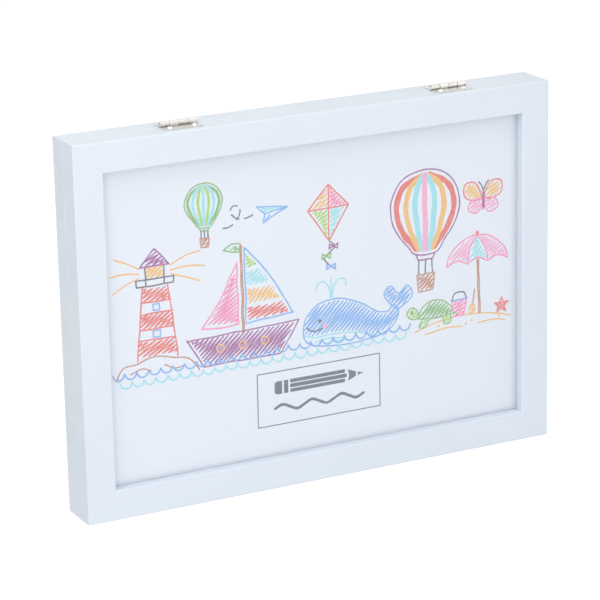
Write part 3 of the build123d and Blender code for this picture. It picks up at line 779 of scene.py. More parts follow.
def rib_section(width, hardware):
    """Points (x, offset) round a strap's ribbed section."""
    half, ribs = width / 2, hardware.rib_count
    count = ribs * RIB_STEPS
    front = []
    for step in range(count + 1):
        share = step / count
        valley = 0.5 + 0.5 * math.cos(math.tau * ribs * share)
        edge = min(1.0, EDGE_SHARE + EDGE_SLOPE * min(share, 1 - share) * ribs)
        offset = (hardware.strap_thickness / 2 - hardware.rib_groove * valley) * edge
        front.append((-half + width * share, offset))
    return front + [(x, -offset) for x, offset in reversed(front)]


def ribbed_strap(name, low, high, hardware):
    """Elastic strap with ribs along it, stretched across the box and turned back at both walls."""
    line = strap_line(low, high, hardware.strap_thickness)
    section = rib_section(high.x - low.x, hardware)
    middle_x = (low.x + high.x) / 2
    vertices = []
    for y, z, angle in line:
        for x, offset in section:
            vertices.append((middle_x + x, y + offset * math.cos(angle), z + offset * math.sin(angle)))
    mesh = mesh_of(name, vertices, closed_faces(len(section), len(line)))
    mesh.shade_smooth()
    return mesh


class FRAME_OT_straps(bpy.types.Operator):
    """Stretch the two ribbed elastic straps over the storage space"""

    bl_idname = "drawing_frame.straps"
    bl_label = "Storage straps"

    def execute(self, context):
        material = knitted_elastic(context.scene.frame_finish)
        for side in ("left", "right"):
            node = f"{side}_elastic_strap"
            low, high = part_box(node)
            mesh = ribbed_strap(f"{side}_ribbed_strap", low, high, context.scene.frame_hardware)
            strap = new_object(f"{side}_ribbed_strap", mesh, material)
            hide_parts(node)
            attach(strap, "box")
        return {"FINISHED"}


# Drawing: outlines in shares of a motif's height, sideways from its middle and up from its base

def both_sides(crayon, form, shares):
    """An entry on the left of a motif's middle and its mirror image on the right."""
    return (crayon, form, shares), (crayon, form, tuple((-u, v) for u, v in shares))


def bar(half_share, share, other_half_share, other_share, closed=False):
    """Corners of a bar across a motif's middle, from its half width at one height and at another."""
    left, right = (-half_share, share), (half_share, share)
    corners = (left, right, (other_half_share, other_share), (-other_half_share, other_share))
    return (*corners, left) if closed else corners


# A rock, a banded tower with a lamp room, and its beams
LIGHTHOUSE_SHARES = (
    ("brown", "curve", (
        (-0.34, 0.02), (-0.28, 0.11), (-0.17, 0.13), (-0.03, 0.17), (0.12, 0.14), (0.25, 0.11), (0.34, 0.01))),
    ("brown", "curve", ((-0.22, 0.06), (-0.13, 0.09), (-0.06, 0.06))),
    ("brown", "curve", ((0.06, 0.09), (0.14, 0.05), (0.22, 0.06))),
    ("coral", "fill", bar(0.155, 0.18, 0.146, 0.29)),
    ("coral", "fill", bar(0.135, 0.39, 0.125, 0.5)),
    ("coral", "fill", bar(0.114, 0.6, 0.104, 0.7)),
    ("coral", "line", ((-0.165, 0.15), (-0.103, 0.72), (0.103, 0.72), (0.165, 0.15))),
    *(("coral", "line", ((-u, v), (u, v)))
      for u, v in ((0.15, 0.3), (0.14, 0.385), (0.13, 0.505), (0.12, 0.595))),
    ("blue", "line", bar(0.03, 0.32, 0.03, 0.37, closed=True)),
    ("blue", "line", bar(0.026, 0.525, 0.026, 0.575, closed=True)),
    ("grey", "line", ((-0.155, 0.77), (-0.15, 0.72), (0.15, 0.72), (0.155, 0.77), (-0.155, 0.77))),
    *both_sides("grey", "line", ((-0.075, 0.72), (-0.075, 0.77))),
    ("yellow", "fill", bar(0.07, 0.78, 0.07, 0.87)),
    ("grey", "line", ((-0.075, 0.77), (-0.075, 0.87), (0.075, 0.87), (0.075, 0.77))),
    ("purple", "fill", ((-0.11, 0.88), (0.11, 0.88), (0.0, 0.98))),
    ("purple", "line", ((-0.12, 0.87), (0.0, 1.0), (0.12, 0.87), (-0.12, 0.87))),
    ("yellow", "curve", ((0.13, 0.82), (0.27, 0.83), (0.41, 0.81))),
    ("yellow", "curve", ((0.13, 0.86), (0.25, 0.91), (0.37, 0.93))),
    ("yellow", "curve", ((0.13, 0.79), (0.26, 0.74), (0.37, 0.7))),
    ("yellow", "curve", ((-0.13, 0.82), (-0.25, 0.84), (-0.36, 0.83))),
    ("yellow", "curve", ((-0.13, 0.86), (-0.23, 0.92), (-0.32, 0.96))),
    ("yellow", "curve", ((-0.13, 0.79), (-0.24, 0.75), (-0.34, 0.7))),
)

SAILBOAT_SHARES = (
    ("brown", "line", ((0.0, 0.25), (0.0, 0.99))),
    ("brown", "line", ((0.012, 0.98), (0.014, 0.26))),
    ("purple", "fill", ((-0.45, 0.24), (-0.33, 0.04), (0.33, 0.04), (0.47, 0.26))),
    ("purple", "line", ((-0.49, 0.26), (-0.35, 0.02), (0.34, 0.02), (0.51, 0.28), (-0.49, 0.25))),
    ("yellow", "ring", ((-0.2, 0.15, 0.032), (0.0, 0.15, 0.032), (0.2, 0.155, 0.032))),
    ("coral", "fill", ((0.055, 0.35), (0.42, 0.365), (0.36, 0.46), (0.055, 0.45))),
    ("yellow", "fill", ((0.055, 0.49), (0.335, 0.5), (0.265, 0.61), (0.055, 0.6))),
    ("aqua", "fill", ((0.05, 0.64), (0.24, 0.65), (0.16, 0.76), (0.05, 0.75))),
    ("lime", "fill", ((0.05, 0.79), (0.14, 0.8), (0.045, 0.91))),
    ("blue", "line", ((0.035, 0.96), (0.035, 0.32))),
    ("blue", "curve", ((0.035, 0.32), (0.24, 0.34), (0.46, 0.35))),
    ("blue", "curve", ((0.46, 0.35), (0.33, 0.58), (0.19, 0.78), (0.035, 0.96))),
    ("hot_pink", "fill", ((-0.045, 0.35), (-0.3, 0.36), (-0.05, 0.76))),
    ("hot_pink", "curve", ((-0.035, 0.84), (-0.14, 0.64), (-0.25, 0.47), (-0.36, 0.34))),
    ("hot_pink", "curve", ((-0.36, 0.34), (-0.2, 0.32), (-0.035, 0.33))),
    ("hot_pink", "line", ((-0.035, 0.33), (-0.035, 0.84))),
    ("green", "curve", ((0.0, 1.0), (-0.08, 1.0), (-0.15, 0.96))),
    ("green", "curve", ((-0.15, 0.96), (-0.08, 0.94), (0.0, 0.93))),
    ("green", "fill", ((-0.005, 0.99), (-0.11, 0.965), (-0.005, 0.94))),
)

WHALE_SHARES = (
    ("blue", "soft_fill", (
        (-0.77, 0.24), (-0.73, 0.44), (-0.52, 0.61), (-0.2, 0.63), (0.1, 0.52), (0.36, 0.36), (0.56, 0.32),
        (0.64, 0.4), (0.7, 0.3), (0.6, 0.15), (0.34, 0.07), (0.0, 0.16), (-0.35, 0.19), (-0.6, 0.18))),
    ("blue", "loop", (
        (-0.79, 0.22), (-0.75, 0.45), (-0.53, 0.64), (-0.2, 0.66), (0.11, 0.54), (0.36, 0.39), (0.54, 0.35),
        (0.63, 0.44), (0.72, 0.32), (0.62, 0.12), (0.36, 0.01), (0.0, -0.02), (-0.45, 0.0), (-0.7, 0.07))),
    ("blue", "soft_fill", (
        (0.64, 0.42), (0.52, 0.6), (0.6, 0.68), (0.72, 0.55), (0.86, 0.66), (0.92, 0.54), (0.78, 0.42))),
    ("blue", "loop", (
        (0.64, 0.4), (0.5, 0.6), (0.6, 0.71), (0.73, 0.58), (0.87, 0.69), (0.95, 0.54), (0.77, 0.39))),
    ("aqua", "curve", ((-0.77, 0.2), (-0.6, 0.15), (-0.35, 0.16), (0.0, 0.13), (0.34, 0.04))),
    ("aqua", "curve", ((-0.6, 0.08), (-0.38, 0.1), (-0.16, 0.08))),
    ("aqua", "curve", ((-0.44, 0.03), (-0.26, 0.05), (-0.04, 0.03))),
    ("grey", "disc", ((-0.53, 0.38, 0.026),)),
    ("grey", "curve", ((-0.74, 0.31), (-0.68, 0.26), (-0.58, 0.24), (-0.5, 0.27))),
    ("pink", "disc", ((-0.45, 0.3, 0.04),)),
    ("aqua", "curve", ((-0.36, 0.7), (-0.38, 0.84), (-0.46, 0.94), (-0.56, 0.92), (-0.58, 0.84))),
    ("aqua", "curve", ((-0.33, 0.7), (-0.31, 0.85), (-0.22, 0.95), (-0.12, 0.92), (-0.11, 0.84))),
    ("aqua", "curve", ((-0.345, 0.71), (-0.35, 0.86), (-0.34, 0.98))),
)

# Bands that follow the balloon's gores, from its crown to its skirt
BALLOON_SHARES = (
    *both_sides("coral", "band", (
        (-0.035, 0.955), (-0.2, 0.87), (-0.262, 0.7), (-0.2, 0.51), (-0.085, 0.36))),
    *both_sides("yellow", "band", (
        (-0.025, 0.955), (-0.13, 0.87), (-0.175, 0.7), (-0.13, 0.51), (-0.06, 0.355))),
    *both_sides("aqua", "band", (
        (-0.012, 0.955), (-0.065, 0.87), (-0.088, 0.7), (-0.065, 0.51), (-0.03, 0.35))),
    ("pink", "band", ((0.0, 0.96), (0.0, 0.7), (0.0, 0.35))),
    ("purple", "loop", (
        (0.0, 1.0), (0.2, 0.94), (0.31, 0.76), (0.29, 0.58), (0.17, 0.4), (0.09, 0.31),
        (-0.09, 0.31), (-0.17, 0.4), (-0.29, 0.58), (-0.31, 0.76), (-0.2, 0.94))),
    ("purple", "line", ((-0.09, 0.31), (-0.065, 0.26), (0.065, 0.26), (0.09, 0.31))),
    *both_sides("grey", "line", ((-0.06, 0.26), (-0.065, 0.14))),
    ("grey", "line", ((0.0, 0.26), (0.0, 0.14))),
    ("brown", "fill", bar(0.07, 0.13, 0.055, 0.015)),
    ("brown", "line", bar(0.08, 0.14, 0.06, 0.0, closed=True)),
)

# A bow of the kite's tail, from its knot
BOW_SHARES = ((0, 0), (0.055, 0.03), (0.05, -0.03), (-0.05, 0.03), (-0.055, -0.03), (0, 0))

KITE_SHARES = (
    ("yellow", "fill", ((-0.02, 0.96), (-0.02, 0.75), (-0.22, 0.74))),
    ("hot_pink", "fill", ((0.02, 0.96), (0.02, 0.75), (0.22, 0.74))),
    ("aqua", "fill", ((0.02, 0.71), (0.21, 0.715), (0.02, 0.4))),
    ("lime", "fill", ((-0.02, 0.71), (-0.21, 0.715), (-0.02, 0.4))),
    ("coral", "line", ((0.0, 1.0), (0.26, 0.73), (0.0, 0.34), (-0.26, 0.73), (0.0, 1.0))),
    ("coral", "line", ((0.0, 0.99), (0.0, 0.35))),
    ("coral", "line", ((-0.25, 0.73), (0.25, 0.73))),
    ("grey", "curve", ((0.0, 0.34), (0.07, 0.27), (0.01, 0.2), (-0.06, 0.13), (0.0, 0.06), (0.07, 0.0))),
    *((crayon, "line", tuple((across + u, up + v) for u, v in BOW_SHARES))
      for crayon, across, up in (("purple", 0.055, 0.27), ("green", -0.035, 0.16), ("blue", 0.025, 0.035))),
)

UMBRELLA_SHARES = (
    ("brown", "line", ((0.02, 0.0), (-0.005, 0.66))),
    ("brown", "line", ((0.04, 0.0), (0.012, 0.66))),
    ("pink", "fill", (
        (-0.39, 0.65), (-0.33, 0.78), (-0.2, 0.88), (-0.04, 0.94), (-0.15, 0.66), (-0.27, 0.69))),
    ("aqua", "fill", ((-0.125, 0.66), (0.0, 0.94), (0.125, 0.66), (0.0, 0.7))),
    ("pink", "fill", ((0.39, 0.65), (0.33, 0.78), (0.2, 0.88), (0.04, 0.94), (0.15, 0.66), (0.27, 0.69))),
    ("hot_pink", "curve", (
        (-0.41, 0.62), (-0.36, 0.77), (-0.21, 0.9), (0.0, 0.96), (0.21, 0.9), (0.36, 0.77), (0.41, 0.62))),
    ("hot_pink", "curve", ((-0.41, 0.62), (-0.27, 0.675), (-0.14, 0.62))),
    ("hot_pink", "curve", ((-0.14, 0.62), (0.0, 0.68), (0.14, 0.62))),
    ("hot_pink", "curve", ((0.14, 0.62), (0.27, 0.675), (0.41, 0.62))),
    *both_sides("hot_pink", "curve", ((-0.14, 0.62), (-0.1, 0.8), (0.0, 0.96))),
    ("coral", "disc", ((0.0, 0.985, 0.022),)),
)

BUCKET_SHARES = (
    ("hot_pink", "fill", bar(0.32, 0.7, 0.24, 0.05)),
    ("hot_pink", "line", bar(0.38, 0.74, 0.27, 0.0, closed=True)),
    ("blue", "line", ((-0.43, 0.78), (0.43, 0.78))),
    ("grey", "curve", ((-0.36, 0.82), (-0.22, 1.12), (0.22, 1.12), (0.36, 0.82))),
    ("brown", "line", ((0.72, 0.45), (0.84, 1.15))),
    ("yellow", "loop", ((0.62, 0.42), (0.84, 0.38), (0.8, 0.1), (0.66, -0.02), (0.56, 0.14))),
    ("yellow", "soft_fill", ((0.65, 0.38), (0.81, 0.35), (0.77, 0.12), (0.66, 0.03), (0.59, 0.15))),
)

STARFISH_SHARES = (
    ("coral", "fill", (
        (0.0, 0.9), (0.13, 0.6), (0.46, 0.6), (0.2, 0.38), (0.28, 0.07),
        (0.0, 0.27), (-0.28, 0.07), (-0.2, 0.38), (-0.46, 0.6), (-0.13, 0.6))),
    ("coral", "line", (
        (0.0, 1.0), (0.14, 0.64), (0.52, 0.64), (0.22, 0.38), (0.33, 0.0), (0.0, 0.22),
        (-0.33, 0.0), (-0.22, 0.38), (-0.52, 0.64), (-0.14, 0.64), (0.0, 1.0))),
)

BUTTERFLY_SHARES = (
    *both_sides("yellow", "soft_fill", (
        (-0.06, 0.5), (-0.3, 0.9), (-0.58, 0.88), (-0.58, 0.6), (-0.3, 0.46))),
    *both_sides("pink", "soft_fill", (
        (-0.06, 0.42), (-0.4, 0.38), (-0.46, 0.16), (-0.24, 0.06), (-0.08, 0.22))),
    *both_sides("coral", "loop", ((-0.04, 0.5), (-0.28, 0.95), (-0.64, 0.93), (-0.64, 0.56), (-0.3, 0.42))),
    *both_sides("hot_pink", "loop", (
        (-0.04, 0.42), (-0.42, 0.4), (-0.52, 0.14), (-0.24, 0.0), (-0.06, 0.2))),
    ("purple", "line", ((0.0, 0.1), (0.0, 0.68))),
    ("purple", "line", ((0.035, 0.64), (0.03, 0.14))),
    ("grey", "curve", ((0.0, 0.7), (-0.06, 0.86), (-0.16, 0.98))),
    ("grey", "curve", ((0.02, 0.7), (0.08, 0.86), (0.18, 0.98))),
)

TURTLE_SHARES = (
    ("green", "soft_fill", (
        (-0.78, 0.28), (-0.62, 0.66), (-0.16, 0.94), (0.36, 0.86), (0.76, 0.5), (0.84, 0.26), (0.0, 0.2))),
    ("green", "curve", ((-0.86, 0.24), (-0.68, 0.7), (-0.16, 1.0), (0.4, 0.92), (0.8, 0.56), (0.92, 0.24))),
    ("green", "curve", ((-0.86, 0.24), (0.0, 0.17), (0.92, 0.24))),
    ("lime", "soft_fill", ((-0.9, 0.34), (-1.0, 0.66), (-1.26, 0.74), (-1.4, 0.52), (-1.2, 0.32))),
    ("green", "loop", ((-0.86, 0.32), (-0.98, 0.7), (-1.28, 0.8), (-1.46, 0.52), (-1.2, 0.27))),
    ("grey", "disc", ((-1.2, 0.58, 0.055),)),
    ("lime", "soft_fill", ((-0.6, 0.18), (-0.78, -0.1), (-0.54, -0.14), (-0.34, 0.16))),
    ("lime", "soft_fill", ((0.44, 0.16), (0.5, -0.14), (0.76, -0.1), (0.72, 0.2))),
    ("green", "curve", ((-0.62, 0.2), (-0.84, -0.12), (-0.54, -0.19), (-0.3, 0.17))),
    ("green", "curve", ((0.4, 0.17), (0.48, -0.19), (0.8, -0.13), (0.76, 0.2))),
    ("green", "curve", ((0.9, 0.3), (1.06, 0.22), (1.14, 0.1))),
)

PAPER_PLANE_SHARES = (
    ("blue", "line", ((1.0, 0.78), (-0.95, 1.0), (-0.42, 0.52), (1.0, 0.78))),
    ("blue", "line", ((-0.42, 0.52), (-0.55, 0.0), (-0.12, 0.4))),
    ("blue", "line", ((-0.55, 0.0), (1.0, 0.78))),
    ("aqua", "fill", ((0.7, 0.79), (-0.75, 0.94), (-0.38, 0.6))),
    ("grey", "curve", ((-1.2, 0.55), (-1.45, 0.45), (-1.7, 0.42))),
    ("grey", "curve", ((-2.05, 0.45), (-2.3, 0.56), (-2.48, 0.74))),
    ("grey", "curve", ((-2.55, 1.05), (-2.4, 1.28), (-2.15, 1.25))),
    ("grey", "curve", ((-1.98, 1.0), (-2.02, 0.72), (-2.2, 0.42))),
    ("grey", "curve", ((-2.45, 0.15), (-2.75, 0.02), (-3.05, 0.02))),
)

# Left-hand end, height and number of arcs of each row of waves, in shares of the sight opening
WAVE_SHARES = (
    ("blue", 0.014, 0.335, 26),
    ("aqua", 0.03, 0.307, 25),
)
WAVE_LENGTH_SHARE, WAVE_DEPTH_SHARE = 0.0275, 0.0185
# One arc, in shares of its length and depth
ARC_SHARES = ((0, 1), (0.2, 0.25), (0.55, 0), (0.85, 0.35), (1, 1))

# The beach on the right: its outline and loose grains, in shares of the sight opening
BEACH_SHARES = (
    ("yellow", "curve", ((0.742, 0.322), (0.79, 0.343), (0.86, 0.352), (0.93, 0.345), (0.985, 0.325))),
    ("yellow", "curve", ((0.765, 0.31), (0.82, 0.318), (0.86, 0.316))),
    ("yellow", "curve", ((0.9, 0.316), (0.94, 0.32), (0.97, 0.312))),
    ("yellow", "disc", (
        (0.885, 0.33, 0.003), (0.87, 0.322, 0.003), (0.955, 0.33, 0.003), (0.8, 0.33, 0.003))),
)

# The second balloon has these crayons in place of the first one's.
SECOND_BALLOON = {"coral": "green", "yellow": "aqua", "aqua": "lime", "pink": "aqua", "purple": "green"}
SECOND_BALLOON_SHARES = tuple(
    (SECOND_BALLOON.get(crayon, crayon), form, shares) for crayon, form, shares in BALLOON_SHARES)

# Each motif's middle, base and height as shares of the sight opening's width, height and height
PLACED_SHARES = (
    (LIGHTHOUSE_SHARES, 0.118, 0.325, 0.41),
    (SAILBOAT_SHARES, 0.318, 0.325, 0.385),
    (WHALE_SHARES, 0.587, 0.33, 0.225),
    (KITE_SHARES, 0.53, 0.578, 0.275),
    (BALLOON_SHARES, 0.768, 0.455, 0.4),
    (UMBRELLA_SHARES, 0.9, 0.35, 0.275),
    (TURTLE_SHARES, 0.792, 0.347, 0.072),
    (BUCKET_SHARES, 0.852, 0.352, 0.07),
    (STARFISH_SHARES, 0.962, 0.342, 0.05),
    (BUTTERFLY_SHARES, 0.915, 0.685, 0.105),
    (PAPER_PLANE_SHARES, 0.395, 0.762, 0.055),
    (SECOND_BALLOON_SHARES, 0.235, 0.715, 0.2),
)

# The printed pencil in the box below the drawing, in shares of the box's width and height from its middle
PENCIL_SHARES = (
    ((-0.36, 0.1), (-0.34, 0.07), (-0.3, 0.07), (-0.3, 0.31), (-0.34, 0.31), (-0.36, 0.28)),
    ((-0.285, 0.07), (-0.25, 0.07), (-0.25, 0.31), (-0.285, 0.31)),
    ((-0.235, 0.07), (0.21, 0.07), (0.21, 0.135), (-0.235, 0.135)),
    ((-0.235, 0.155), (0.225, 0.155), (0.225, 0.225), (-0.235, 0.225)),
    ((-0.235, 0.245), (0.21, 0.245), (0.21, 0.31), (-0.235, 0.31)),
    ((0.235, 0.085), (0.3, 0.147), (0.3, 0.233), (0.235, 0.295), (0.245, 0.19)),
    ((0.315, 0.16), (0.365, 0.19), (0.315, 0.22)),
)
# The wavy line below the pencil: three waves of four points each, and its width in widths of the rule
WAVY_SHARES = tuple((0.06 * (step - 6), -0.19 + 0.06 * math.sin(step * math.pi / 2)) for step in range(13))
WAVY_RULES = 2.6


# Strokes

MICRON = 0.001 * MM
# How far the strokes lie above the sheet: the first one, each next one, the next part of the same one,
# and the waves, which cross the other motifs
CRAYON_LIFT, STROKE_STEP, LEG_STEP, WAVE_LIFT = 20 * MICRON, 2.5 * MICRON, 0.8 * MICRON, 230 * MICRON
# Distance between the points of a bent stroke and of a straight one, and the sides of a circle
BENT_SAMPLE, STRAIGHT_SAMPLE, CIRCLE_STEPS = 1.4 * MM, 2.2 * MM, 16
# Shading, in shares of its pitch: where the first line lies, how far an end strays, and each next step
START_SHARES, STRAY_SHARES, STEP_SHARES = (0.3, 0.6), (-0.25, 0.3), (0.86, 1.14)
# A hand presses harder here and lighter there, by this share of the width and over this length.
PRESS_SHARE, PRESS_LENGTH = 0.22, 5 * MM
# Angles from its side, in radians, of the rings that round a stroke's end
END_ANGLES = (1.25, 0.65)
# A stroke's own stray, in shares of the reach and length of the one that it shares with its neighbours
OWN_REACH_SHARE, OWN_LENGTH_SHARE = 0.45, 0.6
# Range of the seeds for those, and of a scribble's slope in radians; and the seed of the whole drawing
OWN_SEEDS, SLOPE_STRAY, DRAWING_SEED = (1, 90), (-0.2, 0.2), 11


def smooth(points, closed):
    """A smooth line through the points."""
    count = len(points)
    line = []
    for at in range(count if closed else count - 1):
        around = range(at - 1, at + 3)
        p0, p1, p2, p3 = (points[k % count if closed else min(max(k, 0), count - 1)] for k in around)
        steps = max(2, round((p2 - p1).length / BENT_SAMPLE))
        for step in range(steps):
            t = step / steps
            line.append(0.5 * (
                2 * p1 + (p2 - p0) * t + (2 * p0 - 5 * p1 + 4 * p2 - p3) * t ** 2
                + (3 * p1 - p0 - 3 * p2 + p3) * t ** 3))
    line.append(points[0] if closed else points[-1])
    return line


def straight(start, end):
    """A straight line with points along it."""
    steps = max(1, round((end - start).length / STRAIGHT_SAMPLE))
    return [start.lerp(end, step / steps) for step in range(steps + 1)]


def hatch(outline, pitch, slant, luck):
    """Zigzag lines that fill an outline, one for each lobe of it."""
    turn = Matrix.Rotation(-slant, 2)
    corners = [turn @ point for point in outline]
    sides = list(zip(corners, corners[1:] + corners[:1]))
    level = min(corner.y for corner in corners) + pitch * luck.uniform(*START_SHARES)
    top = max(corner.y for corner in corners)
    growing, done = [], []
    while level < top:
        crossed = [(a, b) for a, b in sides if (a.y > level) != (b.y > level)]
        crossings = sorted(a.x + (level - a.y) / (b.y - a.y) * (b.x - a.x) for a, b in crossed)
        following = []
        for start, end in zip(crossings[::2], crossings[1::2]):
            chain = next((c for c in growing if c[0] < end and c[1] > start), None)
            if chain:
                growing.remove(chain)
            line = chain[2] if chain else []
            stray = luck.uniform(*STRAY_SHARES) * pitch
            at = start + stray if len(line) % 2 == 0 else end - stray
            line.append(Vector((at, level)))
            following.append((start, end, line))
        done += [chain[2] for chain in growing]
        growing = following
        level += pitch * luck.uniform(*STEP_SHARES)
    done += [chain[2] for chain in growing]
    back = turn.inverted()
    return [[back @ point for point in line] for line in done if len(line) > 1]


class Crayon:
    """The strokes of one colour, as thin closed ribbons on the sheet's front."""

    def __init__(self):
        self.vertices = []
        self.faces = []

    def ring(self, centre, across, front):
        """Four vertices across a stroke: two on the paper and two at its front."""
        left, right = centre + across, centre - across
        for point, y in ((left, SHEET_FRONT_Y), (right, SHEET_FRONT_Y), (right, front), (left, front)):
            self.vertices.append((point.x, y, point.y))

    def stroke(self, line, width, lift):
        """A ribbon with round ends along a line of points in the sheet's plane."""
        first, count = len(self.vertices), len(line)
        for at, point in enumerate(line):
            along = (line[min(at + 1, count - 1)] - line[max(at - 1, 0)]).normalized()
            across = Vector((-along.y, along.x))
            harder = noise.noise(Vector((point.x, point.y, lift / MM)) / PRESS_LENGTH)
            half = width / 2 * (1 + PRESS_SHARE * harder)
            before = [-angle for angle in END_ANGLES] if at == 0 else []
            after = END_ANGLES[::-1] if at == count - 1 else ()
            for angle in (*before, 0, *after):
                centre = point + half * math.sin(angle) * along
                self.ring(centre, half * math.cos(angle) * across, SHEET_FRONT_Y - lift)
        self.faces += closed_faces(4, (len(self.vertices) - first) // 4, first)

    def plate(self, outline, lift):
        """A filled shape that lies on the sheet."""
        first = len(self.vertices)
        for y in (SHEET_FRONT_Y, SHEET_FRONT_Y - lift):
            self.vertices += [(point.x, y, point.y) for point in outline]
        self.faces += closed_faces(len(outline), 2, first)

    def finish(self, name, material):
        """Turn the strokes into one object that moves with the door."""
        mesh = mesh_of(name, self.vertices, self.faces)
        shape = bmesh.new()
        shape.from_mesh(mesh)
        bmesh.ops.recalc_face_normals(shape, faces=shape.faces)
        shape.to_mesh(mesh)
        shape.free()
        drawn = new_object(name, mesh, material)
        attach(drawn, "door")


class Hand:
    """Draws motifs with the crayons, each stroke a little above the one before."""

    def __init__(self, drawing):
        self.drawing = drawing
        self.luck = random.Random(DRAWING_SEED)
        # Noise vectors take their seed from the clock unless they are given one.
        noise.seed_set(DRAWING_SEED)
        self.crayons = {name: Crayon() for name in CRAYONS}

    def unsteady(self, line, seed):
        """The line as a child's hand draws it: bent as a whole, and a little more on its own."""
        reach, length = self.drawing.shake, self.drawing.shake_length
        bent = []
        for point in line:
            shared = noise.noise_vector(point.to_3d() / length)
            own = noise.noise_vector(point.to_3d() / (OWN_LENGTH_SHARE * length) + Vector((0, 0, seed)))
            bent.append(point + reach * (shared + OWN_REACH_SHARE * own).to_2d())
        return bent

    def legs(self, crayon, points, width, lift, step):
        """Straight strokes from point to point, each above or below the last by one step."""
        seed = self.luck.uniform(*OWN_SEEDS)
        for at, (start, end) in enumerate(zip(points, points[1:])):
            line = self.unsteady(straight(start, end), seed)
            self.crayons[crayon].stroke(line, width, lift + step(at) * LEG_STEP)

    def halves(self, crayon, line, width, lift):
        """A bent stroke in two halves, the second a little above the first where they meet."""
        half = len(line) // 2
        self.crayons[crayon].stroke(line[:half + 1], width, lift)
        self.crayons[crayon].stroke(line[half:], width, lift + LEG_STEP)

    def draw(self, entries, place, lift):
        """Draw one motif; place turns its shares into a point on the sheet."""
        drawing = self.drawing
        for crayon, form, shares in entries:
            points = [place(share[0], share[1]) for share in shares]
            if form in ("fill", "soft_fill"):
                outline = smooth(points, True) if form == "soft_fill" else points
                slant = drawing.scribble_slant + self.luck.uniform(*SLOPE_STRAY)
                for line in hatch(outline, drawing.scribble_pitch, slant, self.luck):
                    self.legs(crayon, line, drawing.scribble_width, lift, lambda at: at % 2)
            elif form == "line":
                self.legs(crayon, points, drawing.outline_width, lift, lambda at: at)
                lift += len(points) * LEG_STEP
            elif form in ("curve", "loop", "band"):
                tall = (place(0, 1) - place(0, 0)).length
                width = drawing.band_share * tall if form == "band" else drawing.outline_width
                line = self.unsteady(smooth(points, form == "loop"), self.luck.uniform(*OWN_SEEDS))
                self.halves(crayon, line, width, lift)
            else:
                for share, centre in zip(shares, points):
                    radius = (place(share[0] + share[2], share[1]) - centre).length
                    angles = [math.tau * step / CIRCLE_STEPS for step in range(CIRCLE_STEPS + 1)]
                    circle = [centre + radius * Vector((math.cos(a), math.sin(a))) for a in angles]
                    if form == "disc":
                        self.crayons[crayon].plate(circle[:-1], lift)
                    else:
                        self.halves(crayon, circle, drawing.outline_width, lift)
            lift += STROKE_STEP


def on_sight(across_share, up_share):
    """A point in the sight opening, from shares of its width and height."""
    x = SIGHT_LEFT + across_share * (SIGHT_RIGHT - SIGHT_LEFT)
    return Vector((x, SIGHT_BOTTOM + up_share * (SIGHT_TOP - SIGHT_BOTTOM)))


class FRAME_OT_drawing(bpy.types.Operator):
    """Draw the seaside in wax crayon on the sheet"""

    bl_idname = "drawing_frame.drawing"
    bl_label = "Crayon drawing"

    def execute(self, context):
        drawing, finish = context.scene.frame_drawing, context.scene.frame_finish
        hand = Hand(drawing)
        hand.draw(BEACH_SHARES, on_sight, CRAYON_LIFT)
        for entries, middle_share, base_share, height_share in PLACED_SHARES:
            base, height = on_sight(middle_share, base_share), height_share * (SIGHT_TOP - SIGHT_BOTTOM)
            hand.draw(entries, lambda u, v: base + height * Vector((u, v)), CRAYON_LIFT + STROKE_STEP)
        for crayon, start_share, up_share, count in WAVE_SHARES:
            for arc in range(count):
                shares = [
                    (start_share + (arc + u) * WAVE_LENGTH_SHARE, up_share + v * WAVE_DEPTH_SHARE)
                    for u, v in ARC_SHARES]
                hand.draw(((crayon, "curve", shares),), on_sight, WAVE_LIFT + (arc % 2) * STROKE_STEP)
        for crayon, pen in hand.crayons.items():
            if pen.vertices:
                pen.finish(f"drawing_{crayon}", wax_crayon(crayon, getattr(drawing, crayon), finish.paper))
        return {"FINISHED"}


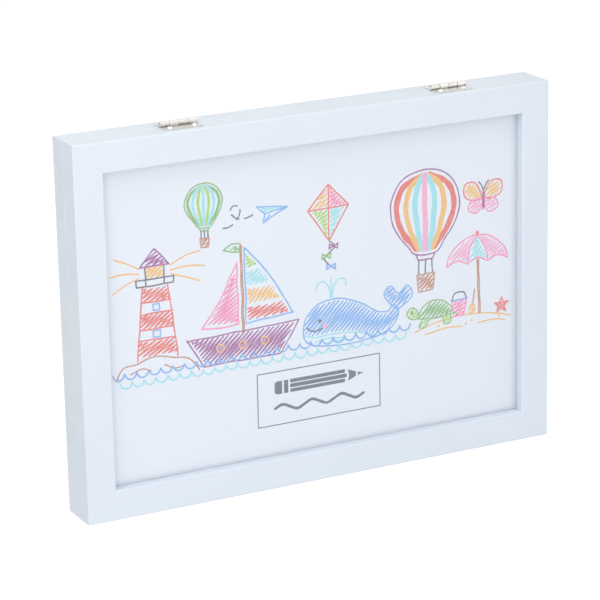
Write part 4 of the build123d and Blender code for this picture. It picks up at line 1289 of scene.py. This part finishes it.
class FRAME_OT_caption(bpy.types.Operator):
    """Print the ruled box with a pencil and a wavy line below the drawing"""

    bl_idname = "drawing_frame.caption"
    bl_label = "Caption place"

    def execute(self, context):
        drawing = context.scene.frame_drawing
        width, height, rule = drawing.caption_width, drawing.caption_height, drawing.rule_width
        middle = Vector((0, SIGHT_BOTTOM + drawing.caption_base + height / 2))
        ink = Crayon()
        right, high = width / 2, height / 2
        inner_right, inner_high = right - rule, high - rule
        for left, base, end, top in (
                (-right, -high, right, -inner_high),
                (-right, inner_high, right, high),
                (-right, -inner_high, -inner_right, inner_high),
                (inner_right, -inner_high, right, inner_high)):
            corners = ((left, base), (end, base), (end, top), (left, top))
            ink.plate([middle + Vector(corner) for corner in corners], CRAYON_LIFT)
        for shares in PENCIL_SHARES:
            ink.plate([middle + Vector((u * width, v * height)) for u, v in shares], CRAYON_LIFT)
        wave = smooth([middle + Vector((u * width, v * height)) for u, v in WAVY_SHARES], False)
        ink.stroke(wave, WAVY_RULES * rule, CRAYON_LIFT)
        ink.finish("caption_print", offset_ink(drawing, context.scene.frame_finish))
        return {"FINISHED"}


# Panel and registration

SETTINGS = {
    "frame_stage": StageSettings,
    "frame_finish": FinishSettings,
    "frame_drawing": DrawingSettings,
    "frame_hardware": HardwareSettings,
}
OPERATORS = (
    FRAME_OT_stage,
    FRAME_OT_woodwork,
    FRAME_OT_glazing,
    FRAME_OT_fittings,
    FRAME_OT_hinge_screws,
    FRAME_OT_straps,
    FRAME_OT_drawing,
    FRAME_OT_caption,
)


class FRAME_PT_dressing(bpy.types.Panel):
    """Lists the dressing steps and their settings"""

    bl_idname = "FRAME_PT_dressing"
    bl_label = "Drawing frame"
    bl_space_type = "VIEW_3D"
    bl_region_type = "UI"
    bl_category = "Drawing frame"

    def draw(self, context):
        for operator in OPERATORS:
            self.layout.operator(operator.bl_idname)
        for name, group in SETTINGS.items():
            box = self.layout.box()
            box.label(text=group.__doc__)
            for prop in group.__annotations__:
                box.prop(getattr(context.scene, name), prop)


CLASSES = (*SETTINGS.values(), *OPERATORS, FRAME_PT_dressing)


def register():
    for made in CLASSES:
        bpy.utils.register_class(made)
    for name, group in SETTINGS.items():
        setattr(bpy.types.Scene, name, PointerProperty(type=group))


def unregister():
    for name in SETTINGS:
        delattr(bpy.types.Scene, name)
    for made in reversed(CLASSES):
        bpy.utils.unregister_class(made)


def main():
    register()
    for operator in OPERATORS:
        group, name = operator.bl_idname.split(".")
        getattr(getattr(bpy.ops, group), name)()


if __name__ == "__main__":
    main()
